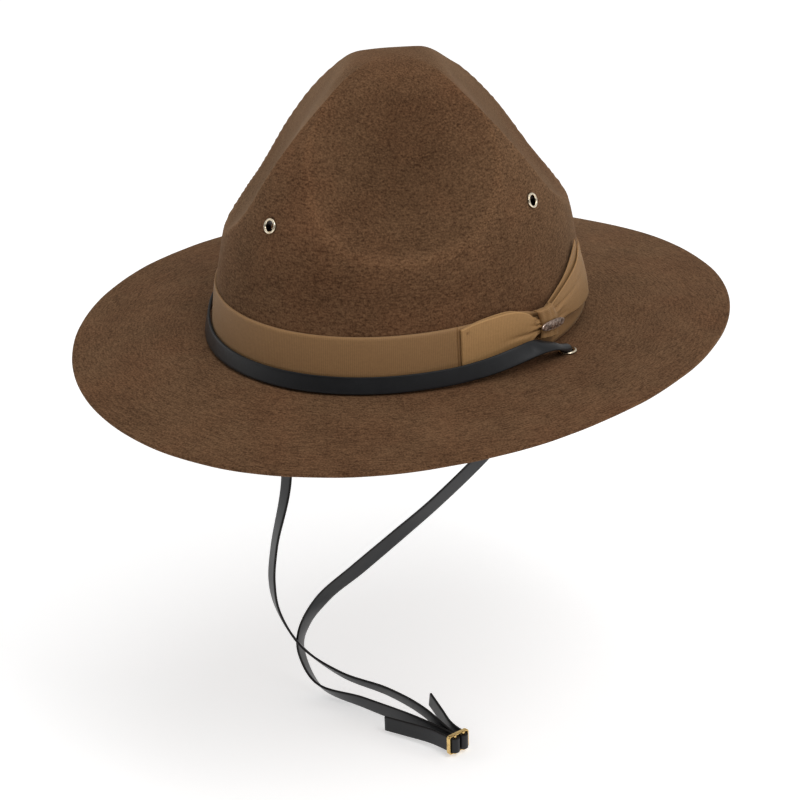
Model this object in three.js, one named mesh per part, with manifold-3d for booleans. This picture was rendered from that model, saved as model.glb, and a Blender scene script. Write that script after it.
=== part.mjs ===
// Campaign hat: felt crown and brim in one piece, ribbon band with a bow, leather chin strap.
// Millimetres, +Z up. The front faces -Y and the wearer's left, the bow side, is +X.
// The origin is the middle of the head opening, level with the break between crown and brim.

import * as THREE from 'three';
import { mergeVertices } from 'three/addons/utils/BufferGeometryUtils.js';
import Module from 'manifold-3d';

const wasm = await Module();
wasm.setup();

// Driving dimensions
const CROWN_WIDTH = 176.4;
const CROWN_LENGTH = 206.8;
const CROWN_HEIGHT = 141;
const FELT_WALL = 2;
const BRIM_WIDTH = 73.5;
const BRIM_THICKNESS = 2.2;
const BRIM_SET_BACK = 2.1;
const BREAK_RADIUS = 2;
const BAND_HEIGHT = 26;
const BAND_THICKNESS = 1;
const RIBBON_THICKNESS = 1.2;
const STRAP_WIDTH = 8.6;
const STRAP_THICKNESS = 1.6;
const STRAP_DROP = 224.4;
const STRAP_FOLD_LENGTH = 43;
const STRAP_TAIL_LENGTH = 37;
const VENT_BORE = 5.2;
const VENT_FLANGE = 7.9;
const VENT_HEIGHT = 76.5;
const BRIM_EYELET_BORE = 5.8;
const BRIM_EYELET_FLANGE = 9.4;
const BRIM_EYELET_REACH = 10.3;
const EYELET_SHEET = 0.5;
const BUCKLE_WIRE = 0.9;
const BUCKLE_DEPTH = 2.4;
const BUCKLE_BAR_RADIUS = 0.9;
const PIN_LENGTH = 17;
const PIN_HEIGHT = 4.4;
const PIN_THICKNESS = 1.2;
const CLEARANCE = 0.3;

// Mesh density
const ROUND_STEPS = 64;
const CROWN_ROWS = 18;
const BRIM_ROWS = 4;
const BREAK_ROWS = 2;

// The crown's upright section, from the break up to the peak.
// height is a share of CROWN_HEIGHT, radius a share of the base oval.
const CROWN_SECTION = [
  { height: 0.000, radius: 1.000 },
  { height: 0.100, radius: 0.990 },
  { height: 0.213, radius: 0.972 },
  { height: 0.355, radius: 0.936 },
  { height: 0.440, radius: 0.902 },
  { height: 0.497, radius: 0.870 },
  { height: 0.553, radius: 0.838 },
  { height: 0.610, radius: 0.803 },
  { height: 0.667, radius: 0.762 },
  { height: 0.723, radius: 0.710 },
  { height: 0.780, radius: 0.645 },
  { height: 0.837, radius: 0.565 },
  { height: 0.890, radius: 0.472 },
  { height: 0.938, radius: 0.375 },
  { height: 0.972, radius: 0.270 },
  { height: 0.993, radius: 0.140 },
  { height: 1.000, radius: 0.000 },
];

// The four dents pressed between the ridges. angle is in degrees from the wearer's left,
// spread is half the dent's angle at its top, foot is its lowest point as a share of
// CROWN_HEIGHT, and depth is a share of the base oval.
const CROWN_DENTS = [
  { name: 'front left', angle: -43, spread: 58, foot: 0.457, depth: 0.210 },
  { name: 'front right', angle: -142, spread: 45.5, foot: 0.398, depth: 0.185 },
  { name: 'back left', angle: 50.5, spread: 47, foot: 0.408, depth: 0.200 },
  { name: 'back right', angle: 132, spread: 43, foot: 0.455, depth: 0.175 },
];
const DENT_OPENING = 0.38;
const DENT_RUN = 1.08;
const DENT_FULLNESS = 0.62;
const DENT_EDGE = 0.85;
const DENT_BLEND = 0.15;

// How far the sections lean off the middle, as shares of the base oval's half width and half length.
const CROWN_LEAN = {
  start: 0.284, shoulder: 0.567,
  shoulderLeft: 0.054, shoulderBack: -0.057,
  peakLeft: 0.014, peakBack: -0.034,
};

// Height of the brim's edge round the hat, as shares of BRIM_WIDTH: a mean and two waves.
const BRIM_EDGE = { mean: -0.078, left: 0.047, back: 0.028, sides: 0.046, corners: 0.025 };
const BRIM_CURVE = 1.15;

const rad = THREE.MathUtils.degToRad;
const lerp = THREE.MathUtils.lerp;
const clamp = THREE.MathUtils.clamp;
const halfWidth = CROWN_WIDTH / 2;
const halfLength = CROWN_LENGTH / 2;
const UP = new THREE.Vector3(0, 0, 1);
const BACKWARD = new THREE.Vector3(0, 1, 0);

// Felt surface

const sectionCurve = new THREE.SplineCurve(
  CROWN_SECTION.map((row) => new THREE.Vector2(row.radius, row.height)));

// How deep the dents lie at an angle and a height share, as a share of the base oval. Where two
// meet, the deeper one counts, and a little of the other.
function dentDepth(angle, height) {
  let sum = 0;
  let deepest = 0;
  for (const dent of CROWN_DENTS) {
    const climb = clamp((height - dent.foot) / (1 - dent.foot), 0, 1);
    const spread = rad(dent.spread) * Math.pow(climb, DENT_OPENING) + 1e-4;
    const turn = angle - rad(dent.angle);
    const away = Math.atan2(Math.sin(turn), Math.cos(turn)) / spread;
    const across = Math.pow(Math.max(1 - away * away, 0), DENT_EDGE);
    const along = Math.pow(Math.max(Math.sin(Math.PI * Math.pow(climb, DENT_RUN)), 0), DENT_FULLNESS);
    sum += dent.depth * across * along;
    deepest = Math.max(deepest, dent.depth * across * along);
  }
  return lerp(deepest, sum, DENT_BLEND);
}

function crownLean(height) {
  const { start, shoulder } = CROWN_LEAN;
  const rise = THREE.MathUtils.smoothstep(height, start, shoulder);
  const top = clamp((height - shoulder) / (1 - shoulder), 0, 1);
  const left = lerp(rise * CROWN_LEAN.shoulderLeft, CROWN_LEAN.peakLeft, top);
  const back = lerp(rise * CROWN_LEAN.shoulderBack, CROWN_LEAN.peakBack, top);
  return new THREE.Vector2(left * halfWidth, back * halfLength);
}

// A point of the crown's outside, from its section's radius and height shares.
function crownPoint(angle, radius, height) {
  const share = radius - Math.min(dentDepth(angle, height), radius);
  const lean = crownLean(height);
  return new THREE.Vector3(
    halfWidth * share * Math.cos(angle) + lean.x,
    halfLength * share * Math.sin(angle) + lean.y,
    CROWN_HEIGHT * height);
}

// The section's radius share at a height share, found by halving the steps along the curve.
function sectionRadius(height) {
  let low = 0;
  let high = 1;
  for (let step = 0; step < 30; step += 1) {
    const middle = (low + high) / 2;
    if (sectionCurve.getPoint(middle).y < height) low = middle;
    else high = middle;
  }
  return sectionCurve.getPoint(low).x;
}

// A point on the crown's wall at a height in millimetres, moved outwards along its normal.
function wallPoint(angle, height, outward) {
  const at = (turn, rise) => crownPoint(turn, sectionRadius(rise / CROWN_HEIGHT), rise / CROWN_HEIGHT);
  const around = at(angle + 0.01, height).sub(at(angle - 0.01, height));
  const upward = at(angle, height + 0.5).sub(at(angle, Math.max(height - 0.5, 0)));
  const normal = around.cross(upward).normalize();
  return { point: at(angle, height).addScaledVector(normal, outward), normal };
}

// A point on the brim's top, from 0 at the crown's base oval to 1 at the edge.
function brimPoint(angle, reach) {
  const edge = BRIM_EDGE.mean + BRIM_EDGE.left * Math.cos(angle) + BRIM_EDGE.back * Math.sin(angle)
    + BRIM_EDGE.sides * Math.cos(2 * angle) + BRIM_EDGE.corners * Math.sin(2 * angle);
  return new THREE.Vector3(
    (halfWidth + BRIM_WIDTH * reach) * Math.cos(angle),
    (halfLength + BRIM_WIDTH * reach) * Math.sin(angle) + BRIM_SET_BACK * reach,
    edge * BRIM_WIDTH * Math.pow(reach, BRIM_CURVE));
}

// One upright line of the felt's outside, from the peak down the crown, round the break, to the edge.
function feltLine(angle) {
  const line = [];
  const foot = BREAK_RADIUS / CROWN_HEIGHT;
  const rows = sectionCurve.getSpacedPoints(CROWN_ROWS).reverse();
  for (const row of rows.slice(1)) {
    if (row.y > foot * 2) line.push(crownPoint(angle, row.x, row.y));
  }
  const wall = crownPoint(angle, sectionRadius(foot), foot);
  const brim = brimPoint(angle, BREAK_RADIUS / BRIM_WIDTH);
  const corner = brimPoint(angle, 0);
  line.push(wall);
  const arc = new THREE.QuadraticBezierCurve3(wall, corner, brim);
  for (let step = 1; step <= BREAK_ROWS; step += 1) line.push(arc.getPoint(step / BREAK_ROWS));
  for (let step = 1; step <= BRIM_ROWS; step += 1) {
    line.push(brimPoint(angle, lerp(BREAK_RADIUS / BRIM_WIDTH, 1, step / BRIM_ROWS)));
  }
  return line;
}

// Mesh helpers

function meshOf(name, geometry, material) {
  const mesh = new THREE.Mesh(geometry, material);
  mesh.name = name;
  return mesh;
}

function geometryOf(points, triangles) {
  const geometry = new THREE.BufferGeometry();
  geometry.setAttribute('position', new THREE.Float32BufferAttribute(
    points.flatMap((point) => [point.x, point.y, point.z]), 3));
  geometry.setIndex(triangles.flat());
  return geometry;
}

function toSolid(geometry) {
  const bare = geometry.clone();
  bare.deleteAttribute('normal');
  bare.deleteAttribute('uv');
  const merged = mergeVertices(bare, 1e-4);
  return new wasm.Manifold(new wasm.Mesh({
    numProp: 3,
    vertProperties: new Float32Array(merged.attributes.position.array),
    triVerts: new Uint32Array(merged.index.array),
  }));
}

function toGeometry(solid) {
  const { vertProperties, triVerts } = solid.getMesh();
  const geometry = new THREE.BufferGeometry();
  geometry.setAttribute('position', new THREE.BufferAttribute(vertProperties, 3));
  geometry.setIndex(new THREE.BufferAttribute(triVerts, 1));
  geometry.computeVertexNormals();
  return geometry;
}

// The two triangles of a grid's square, by its four corners in order.
function square(a, b, c, d) {
  return [[a, b, c], [a, c, d]];
}

// A closed sheet of even thickness round a middle surface point(u, v), u and v from 0 to 1.
function sheetGeometry(point, stepsU, stepsV, thickness, closed = false) {
  const points = [];
  const columns = closed ? stepsU : stepsU + 1;
  const rows = stepsV + 1;
  for (const side of [0.5, -0.5]) {
    for (let i = 0; i < columns; i += 1) {
      for (let j = 0; j < rows; j += 1) {
        const u = i / stepsU;
        const v = j / stepsV;
        const low = closed ? u - 0.002 : Math.max(u - 0.002, 0);
        const high = closed ? u + 0.002 : Math.min(u + 0.002, 1);
        const along = point(high, v).sub(point(low, v));
        const up = point(u, Math.min(v + 0.01, 1)).sub(point(u, Math.max(v - 0.01, 0)));
        const normal = along.cross(up).normalize();
        points.push(point(u, v).addScaledVector(normal, side * thickness));
      }
    }
  }
  const triangles = [];
  const outer = (i, j) => (i % columns) * rows + j;
  const inner = (i, j) => columns * rows + outer(i, j);
  for (let i = 0; i < stepsU; i += 1) {
    for (let j = 0; j < stepsV; j += 1) {
      triangles.push(...square(outer(i, j), outer(i + 1, j), outer(i + 1, j + 1), outer(i, j + 1)));
      triangles.push(...square(inner(i, j), inner(i, j + 1), inner(i + 1, j + 1), inner(i + 1, j)));
    }
    triangles.push(...square(outer(i, 0), inner(i, 0), inner(i + 1, 0), outer(i + 1, 0)));
    triangles.push(...square(outer(i, stepsV), outer(i + 1, stepsV), inner(i + 1, stepsV), inner(i, stepsV)));
  }
  if (!closed) {
    for (let j = 0; j < stepsV; j += 1) {
      triangles.push(...square(outer(0, j), outer(0, j + 1), inner(0, j + 1), inner(0, j)));
      triangles.push(...square(outer(stepsU, j), inner(stepsU, j), inner(stepsU, j + 1), outer(stepsU, j + 1)));
    }
  }
  return geometryOf(points, triangles);
}

// Linear reading of a table at a share of its length, one column at a time.
function readRows(rows, share, column) {
  const place = clamp(share, 0, 1) * (rows.length - 1);
  const index = Math.min(Math.floor(place), rows.length - 2);
  return lerp(rows[index][column], rows[index + 1][column], place - index);
}

// Materials

const felt = new THREE.MeshStandardMaterial({ color: 0x5b402b, roughness: 0.95, metalness: 0 });
const ribbon = new THREE.MeshStandardMaterial({ color: 0x7a5a35, roughness: 0.7, metalness: 0 });
const leather = new THREE.MeshStandardMaterial({ color: 0x15161a, roughness: 0.4, metalness: 0 });
const brass = new THREE.MeshStandardMaterial({ color: 0xd9b45b, roughness: 0.25, metalness: 1 });
const pewter = new THREE.MeshStandardMaterial({ color: 0x6f6258, roughness: 0.35, metalness: 1 });

// Eyelet: a barrel through the felt with a rounded flange outside and a rolled edge inside.
// rise and fall are how far the felt bulges over and under its middle below the flange.
function eyeletGeometry(bore, flange, wall, { rise, fall }) {
  const inner = bore / 2;
  const barrel = inner + EYELET_SHEET;
  const rim = flange / 2;
  const roll = barrel + EYELET_SHEET;
  const seat = rise + CLEARANCE;
  const top = seat + EYELET_SHEET;
  const bottom = fall - wall - 2 * CLEARANCE;
  const profile = [
    [inner, bottom - EYELET_SHEET],
    [roll, bottom - EYELET_SHEET],
    [roll, bottom],
    [barrel, bottom],
    [barrel, seat],
    [rim, seat],
    [rim - EYELET_SHEET * 0.6, top],
    [(rim + inner) / 2, top + EYELET_SHEET * 0.5],
    [inner, top],
    [inner, bottom - EYELET_SHEET],
  ].map(([radius, height]) => new THREE.Vector2(radius, height));
  return new THREE.LatheGeometry(profile, 14).rotateX(Math.PI / 2);
}

// Where each eyelet sits: its middle on the felt's outside, its axis, and the felt's rise and fall
// about that middle out to the flange's edge.
function seatAt(surface, flange) {
  const point = surface(0, 0);
  const across = surface(1, 0).sub(surface(-1, 0));
  const along = surface(0, 1).sub(surface(0, -1));
  const normal = across.cross(along).normalize();
  let rise = 0;
  let fall = 0;
  for (let step = 0; step < 12; step += 1) {
    const angle = Math.PI * step / 6;
    const edge = surface(Math.cos(angle) * flange / 2, Math.sin(angle) * flange / 2);
    const height = edge.sub(point).dot(normal);
    rise = Math.max(rise, height);
    fall = Math.min(fall, height);
  }
  return { point, normal, rise, fall };
}

function ventSeat(angle) {
  const radius = wallPoint(angle, VENT_HEIGHT, 0).point.setZ(0).length();
  return seatAt((x, y) => wallPoint(angle + x / radius, VENT_HEIGHT + y, 0).point, VENT_FLANGE);
}

function brimSeat(angle) {
  const radius = brimPoint(angle, BRIM_EYELET_REACH / BRIM_WIDTH).setZ(0).length();
  return seatAt((x, y) => brimPoint(angle + x / radius, (BRIM_EYELET_REACH - y) / BRIM_WIDTH),
    BRIM_EYELET_FLANGE);
}

const VENTS = [
  { name: 'front', angle: -97 },
  { name: 'left', angle: 9 },
  { name: 'back', angle: 92 },
  { name: 'right', angle: 172 },
];
const BRIM_EYELETS = [
  { name: 'left', angle: 5 },
  { name: 'right', angle: 175 },
];

function placed(geometry, seat) {
  const turn = new THREE.Quaternion().setFromUnitVectors(UP, seat.normal);
  return geometry.applyQuaternion(turn).translate(seat.point.x, seat.point.y, seat.point.z);
}

function drill(bore, seat) {
  const length = 12 * FELT_WALL;
  const radius = bore / 2 + EYELET_SHEET + CLEARANCE;
  const rod = new THREE.CylinderGeometry(radius, radius, length, 14).rotateX(Math.PI / 2);
  return toSolid(placed(rod, seat));
}

// Felt body: crown and brim, hollow, from its outside surface and the same surface moved inwards.
function feltBody() {
  const lines = [];
  for (let i = 0; i < ROUND_STEPS; i += 1) lines.push(feltLine(2 * Math.PI * i / ROUND_STEPS));
  const rows = lines[0].length;
  const peak = crownPoint(0, 0, 1);
  const at = (i, j) => (j < 0 ? peak : lines[(i + ROUND_STEPS) % ROUND_STEPS][Math.min(j, rows - 1)]);
  const foldRow = rows - 1 - BRIM_ROWS;
  const points = [];
  for (let i = 0; i < ROUND_STEPS; i += 1) {
    for (let j = 0; j < rows; j += 1) points.push(at(i, j).clone());
    const edgeNormal = at(i, rows - 1).clone().sub(at(i, rows - 2)).normalize();
    points.push(at(i, rows - 1).clone().addScaledVector(edgeNormal, BRIM_THICKNESS * 0.3)
      .addScaledVector(UP, -BRIM_THICKNESS / 2));
    for (let j = rows - 1; j >= 0; j -= 1) {
      const around = at(i + 1, j).clone().sub(at(i - 1, j));
      const down = at(i, j + 1).clone().sub(at(i, j - 1));
      const normal = down.cross(around).normalize();
      const depth = j > foldRow ? BRIM_THICKNESS : FELT_WALL;
      points.push(at(i, j).clone().addScaledVector(normal, -depth));
    }
  }
  const outerPeak = points.push(peak.clone()) - 1;
  const innerPeak = points.push(peak.clone().addScaledVector(UP, -FELT_WALL)) - 1;
  const span = 2 * rows + 1;
  const index = (i, j) => (i % ROUND_STEPS) * span + j;
  const triangles = [];
  for (let i = 0; i < ROUND_STEPS; i += 1) {
    for (let j = 0; j < span - 1; j += 1) {
      triangles.push(...square(index(i, j), index(i, j + 1), index(i + 1, j + 1), index(i + 1, j)));
    }
    triangles.push([outerPeak, index(i, 0), index(i + 1, 0)]);
    triangles.push([innerPeak, index(i + 1, span - 1), index(i, span - 1)]);
  }
  let solid = toSolid(geometryOf(points, triangles));
  for (const vent of VENTS) solid = solid.subtract(drill(VENT_BORE, ventSeat(rad(vent.angle))));
  for (const eye of BRIM_EYELETS) {
    solid = solid.subtract(drill(BRIM_EYELET_BORE, brimSeat(rad(eye.angle))));
  }
  return meshOf('felt_body', toGeometry(solid), felt);
}

// Band: the ribbon round the foot of the crown.
const bandFoot = BREAK_RADIUS + CLEARANCE;
const bandMiddle = CLEARANCE + BAND_THICKNESS / 2;
const bandOutside = CLEARANCE + BAND_THICKNESS;

function hatBand() {
  const point = (u, v) => wallPoint(2 * Math.PI * u, bandFoot + BAND_HEIGHT * v, bandMiddle).point;
  return meshOf('hat_band', sheetGeometry(point, ROUND_STEPS, 2, BAND_THICKNESS, true), ribbon);
}

// Bow: each row is one line across the ribbon. The angles are degrees from the wearer's left,
// low and high are heights as shares of BAND_HEIGHT, and lowOut and highOut are how far those
// two edges stand off the band, as shares of it too.
const FRONT_WING = [
  { lowAngle: -29.2, highAngle: -29.0, low: 0.01, high: 0.94, lowOut: 0.000, highOut: 0.01 },
  { lowAngle: -24.0, highAngle: -23.4, low: 0.05, high: 1.03, lowOut: 0.008, highOut: 0.05 },
  { lowAngle: -17.5, highAngle: -17.0, low: 0.10, high: 1.06, lowOut: 0.020, highOut: 0.09 },
  { lowAngle: -11.8, highAngle: -11.7, low: 0.18, high: 1.03, lowOut: 0.040, highOut: 0.11 },
  { lowAngle: -6.4, highAngle: -7.0, low: 0.28, high: 0.91, lowOut: 0.060, highOut: 0.10 },
  { lowAngle: -3.0, highAngle: -3.6, low: 0.40, high: 0.75, lowOut: 0.070, highOut: 0.08 },
  { lowAngle: 0.8, highAngle: -1.0, low: 0.44, high: 0.70, lowOut: 0.072, highOut: 0.075 },
];
const REAR_WING = [
  { lowAngle: 4.0, highAngle: 2.2, low: 0.41, high: 0.84, lowOut: 0.072, highOut: 0.075 },
  { lowAngle: 11.0, highAngle: 8.0, low: 0.44, high: 0.92, lowOut: 0.080, highOut: 0.080 },
  { lowAngle: 18.0, highAngle: 12.5, low: 0.385, high: 1.10, lowOut: 0.090, highOut: 0.080 },
  { lowAngle: 25.0, highAngle: 17.0, low: 0.34, high: 1.355, lowOut: 0.090, highOut: 0.075 },
  { lowAngle: 31.0, highAngle: 22.0, low: 0.355, high: 1.70, lowOut: 0.085, highOut: 0.070 },
];
const BOW_KNOT = [
  { lowAngle: -2.5, highAngle: 5.0, low: 0.30, high: 0.22, lowOut: 0.150, highOut: 0.150 },
  { lowAngle: -2.0, highAngle: 5.4, low: 0.58, high: 0.56, lowOut: 0.158, highOut: 0.158 },
  { lowAngle: -3.2, highAngle: 3.4, low: 0.87, high: 0.88, lowOut: 0.152, highOut: 0.152 },
];
const BOW_SWELL = 0.3;

function bowPoint(rows, along, across) {
  const read = (column) => readRows(rows, along, column);
  const angle = lerp(read('lowAngle'), read('highAngle'), across);
  const height = lerp(read('low'), read('high'), across) * BAND_HEIGHT;
  const swell = 1 + BOW_SWELL * Math.sin(Math.PI * across);
  const lift = lerp(read('lowOut'), read('highOut'), across) * swell * BAND_HEIGHT;
  const out = bandOutside + CLEARANCE + RIBBON_THICKNESS / 2 + lift;
  return wallPoint(rad(angle), bandFoot + height, out).point;
}

function bowPiece(name, rows, steps) {
  const point = (u, v) => bowPoint(rows, u, v);
  return meshOf(name, sheetGeometry(point, steps, 3, RIBBON_THICKNESS), ribbon);
}

// The knot's rows run up the strip, so its own across is from its front edge to its back edge.
function bowKnot() {
  const point = (u, v) => bowPoint(BOW_KNOT, 1 - v, u);
  return meshOf('bow_knot', sheetGeometry(point, 3, 4, RIBBON_THICKNESS), ribbon);
}

// Pin: a plain rounded bar on the bow's knot, placed by its shares up the strip and across it.
const PIN_PLACE = { along: 0.45, across: 0.4 };

function pinPlate() {
  const outline = new THREE.Shape();
  const straight = (PIN_LENGTH - PIN_HEIGHT) / 2;
  outline.absarc(straight, 0, PIN_HEIGHT / 2, -Math.PI / 2, Math.PI / 2);
  outline.absarc(-straight, 0, PIN_HEIGHT / 2, Math.PI / 2, 1.5 * Math.PI);
  const geometry = new THREE.ExtrudeGeometry(outline, {
    depth: PIN_THICKNESS, bevelEnabled: false, curveSegments: 6,
  });
  const { along, across: place } = PIN_PLACE;
  const middle = bowPoint(BOW_KNOT, along, place);
  const across = bowPoint(BOW_KNOT, along, place + 0.1).sub(bowPoint(BOW_KNOT, along, place - 0.1));
  across.normalize();
  const upright = bowPoint(BOW_KNOT, along + 0.1, place).sub(bowPoint(BOW_KNOT, along - 0.1, place));
  const normal = across.clone().cross(upright).normalize();
  const side = normal.clone().cross(across);
  const seat = middle.addScaledVector(normal, RIBBON_THICKNESS / 2 + 2 * CLEARANCE);
  geometry.applyMatrix4(new THREE.Matrix4().makeBasis(across, side, normal));
  geometry.translate(seat.x, seat.y, seat.z);
  return meshOf('pin_plate', geometry, pewter);
}

// Buckle: a rectangular frame with two upright bars, standing across the strap.
const BUCKLE_PLACE = { left: 0.2255, back: -0.103 };
const BUCKLE_TURN = rad(-10);
const foldRadius = BUCKLE_BAR_RADIUS + CLEARANCE + STRAP_THICKNESS / 2;
const barOffset = foldRadius + (STRAP_THICKNESS + CLEARANCE) / 2;
const barForward = BUCKLE_DEPTH / 2 - 0.2;
const frameInnerWidth = 2 * (barOffset + foldRadius + STRAP_THICKNESS / 2 + CLEARANCE);
const frameInnerHeight = STRAP_WIDTH + 2 * CLEARANCE;
const buckleMatrix = new THREE.Matrix4()
  .makeTranslation(BUCKLE_PLACE.left * STRAP_DROP, BUCKLE_PLACE.back * STRAP_DROP, -STRAP_DROP)
  .multiply(new THREE.Matrix4().makeRotationZ(BUCKLE_TURN));

function boxSolid(x, y, z, cx, cy, cz) {
  return toSolid(new THREE.BoxGeometry(x, y, z).translate(cx, cy, cz));
}

function buckleFrame() {
  const width = frameInnerWidth + 2 * BUCKLE_WIRE;
  const height = frameInnerHeight + 2 * BUCKLE_WIRE;
  let solid = boxSolid(BUCKLE_DEPTH, width, height, 0, 0, 0)
    .subtract(boxSolid(2 * BUCKLE_DEPTH, frameInnerWidth, frameInnerHeight, 0, 0, 0));
  for (const side of [-1, 1]) {
    const bar = new THREE.CylinderGeometry(
      BUCKLE_BAR_RADIUS, BUCKLE_BAR_RADIUS, frameInnerHeight + 2 * BUCKLE_WIRE, 12);
    bar.rotateX(Math.PI / 2).translate(barForward, side * barOffset, 0);
    solid = solid.add(toSolid(bar));
  }
  return meshOf('buckle_frame', toGeometry(solid).applyMatrix4(buckleMatrix), brass);
}

// Chin strap: one length of leather, drawn through its stations.
// Each station has a middle point, the direction of its width and its width.

// The folded end and the free end, from the buckle outwards. along is a share of the end's length
// back from the bar, side is measured across the layers from the bar, and rise is upwards, both
// as shares of the length too.
const FOLDED_END = [
  { along: 1.00, side: -0.310, rise: -0.022 },
  { along: 0.70, side: -0.220, rise: -0.016 },
  { along: 0.35, side: -0.130, rise: -0.004 },
];
const FREE_END = [
  { along: 0.12, side: 0.100, rise: 0.000 },
  { along: 0.35, side: 0.125, rise: 0.015 },
  { along: 0.65, side: 0.215, rise: 0.075 },
  { along: 1.00, side: 0.320, rise: 0.150 },
];

// The two legs, from the buckle up to the brim. run is the share of the straight line from the
// buckle to the eyelet; left, back and up are offsets from it as shares of STRAP_DROP, and twist
// is the turn of the strap's width in degrees.
const LEFT_LEG = [
  { run: 0.08, left: -0.155, back: 0.001, up: -0.081, twist: 6 },
  { run: 0.18, left: -0.338, back: -0.002, up: -0.189, twist: 18 },
  { run: 0.26, left: -0.494, back: -0.021, up: -0.262, twist: 46 },
  { run: 0.31, left: -0.547, back: -0.038, up: -0.235, twist: 66 },
  { run: 0.36, left: -0.535, back: -0.061, up: -0.201, twist: 93 },
  { run: 0.43, left: -0.484, back: -0.073, up: -0.169, twist: 124 },
  { run: 0.52, left: -0.394, back: -0.085, up: -0.148, twist: 134 },
  { run: 0.62, left: -0.298, back: -0.093, up: -0.128, twist: 130 },
  { run: 0.71, left: -0.210, back: -0.095, up: -0.106, twist: 122 },
  { run: 0.81, left: -0.120, back: -0.084, up: -0.075, twist: 120 },
  { run: 0.88, left: -0.069, back: -0.048, up: -0.049, twist: 84 },
  { run: 0.95, left: -0.029, back: -0.017, up: -0.027, twist: 34 },
];
const RIGHT_LEG = [
  { run: 0.09, left: -0.062, back: 0.015, up: -0.065, twist: 20 },
  { run: 0.17, left: -0.126, back: 0.014, up: -0.134, twist: 29 },
  { run: 0.26, left: -0.190, back: -0.025, up: -0.205, twist: 37 },
  { run: 0.34, left: -0.227, back: -0.075, up: -0.221, twist: 42 },
  { run: 0.42, left: -0.218, back: -0.117, up: -0.202, twist: 36 },
  { run: 0.47, left: -0.198, back: -0.127, up: -0.178, twist: 28 },
  { run: 0.53, left: -0.163, back: -0.117, up: -0.153, twist: 30 },
  { run: 0.65, left: -0.085, back: -0.079, up: -0.114, twist: 12 },
  { run: 0.81, left: -0.045, back: -0.040, up: -0.061, twist: 8 },
  { run: 0.94, left: -0.012, back: -0.002, up: -0.020, twist: 4 },
];

// The stretch on the brim, from an eyelet to the front. angle is degrees forward of the eyelet,
// out is how far its middle stands beyond its place against the band, as a share of the way to
// the eyelet, lift is extra height and narrow the width lost, as shares of STRAP_WIDTH, and lean
// is degrees from upright, its top edge towards the crown.
const BRIM_STRETCH = [
  { angle: 3.5, out: 1.00, lift: 0.38, narrow: 0.60, lean: 84 },
  { angle: 6.5, out: 1.00, lift: 0.68, narrow: 0.25, lean: 76 },
  { angle: 11.0, out: 0.98, lift: 0.80, narrow: 0.05, lean: 56 },
  { angle: 14.0, out: 0.90, lift: 0.72, narrow: 0.00, lean: 42 },
  { angle: 17.5, out: 0.80, lift: 0.60, narrow: 0.00, lean: 32 },
  { angle: 25.0, out: 0.54, lift: 0.34, narrow: 0.00, lean: 22 },
  { angle: 31.0, out: 0.38, lift: 0.20, narrow: 0.00, lean: 14 },
  { angle: 39.0, out: 0.24, lift: 0.10, narrow: 0.00, lean: 12 },
  { angle: 54.0, out: 0.08, lift: 0.02, narrow: 0.00, lean: 14 },
];
const FRONT_STATIONS = 5;
const FRONT_LEAN = rad(14);
const FRONT_CLEARANCE = 0.6;

const pinchWidth = Math.sqrt((BRIM_EYELET_BORE - 3 * CLEARANCE) ** 2 - STRAP_THICKNESS ** 2);
const strapOffset = bandOutside + CLEARANCE + STRAP_THICKNESS / 2;

function station(point, across, width = STRAP_WIDTH) {
  return { point, across, width };
}

function buckleStation(along, side, rise) {
  return station(new THREE.Vector3(along, side, rise).applyMatrix4(buckleMatrix), UP.clone());
}

// The turn of the strap round a bar, from the outer layer to the inner one.
function barTurn(side) {
  const stations = [];
  for (let step = 0; step <= 6; step += 1) {
    const angle = Math.PI * step / 6;
    stations.push(buckleStation(barForward + foldRadius * Math.sin(angle),
      side * (barOffset + foldRadius * Math.cos(angle)), 0));
  }
  stations.push(buckleStation(barForward - 8, side * (barOffset - foldRadius), 0));
  return stations;
}

function strapEnd(rows, length, side) {
  return rows.map((row) => buckleStation(barForward - row.along * length,
    side * (barOffset + foldRadius) + (row.side - side * 0.1) * length, row.rise * length));
}

// One leg's stations, upwards. The width turns about the leg, downwards seen, from the direction
// square to the leg and to front-and-back.
function strapLeg(rows, top) {
  const bottom = new THREE.Vector3().applyMatrix4(buckleMatrix);
  const points = rows.map((row) => bottom.clone().lerp(top, row.run).add(
    new THREE.Vector3(row.left, row.back, row.up).multiplyScalar(STRAP_DROP)));
  return rows.map((row, i) => {
    const above = points[i + 1] ?? top;
    const below = points[i - 1] ?? bottom;
    const tangent = below.clone().sub(above).normalize();
    const square = tangent.clone().cross(BACKWARD).normalize();
    return station(points[i], square.applyAxisAngle(tangent, rad(row.twist)));
  });
}

function leaningAcross(outward, lean) {
  return UP.clone().multiplyScalar(Math.cos(lean)).addScaledVector(outward, -Math.sin(lean));
}

function brimStretch(eyelet, towards) {
  return BRIM_STRETCH.map((row) => {
    const angle = rad(eyelet.angle + towards * row.angle);
    const out = lerp(strapOffset, BRIM_EYELET_REACH, row.out);
    const base = brimPoint(angle, out / BRIM_WIDTH);
    const outward = brimPoint(angle, 1).sub(brimPoint(angle, 0)).setZ(0).normalize();
    const lean = rad(row.lean);
    const width = lerp(STRAP_WIDTH, pinchWidth, row.narrow);
    const halfHeight = Math.cos(lean) * width / 2 + Math.sin(lean) * STRAP_THICKNESS / 2;
    base.z += halfHeight + 2 * CLEARANCE + row.lift * STRAP_WIDTH;
    return station(base, leaningAcross(outward, lean), width);
  });
}

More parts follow.
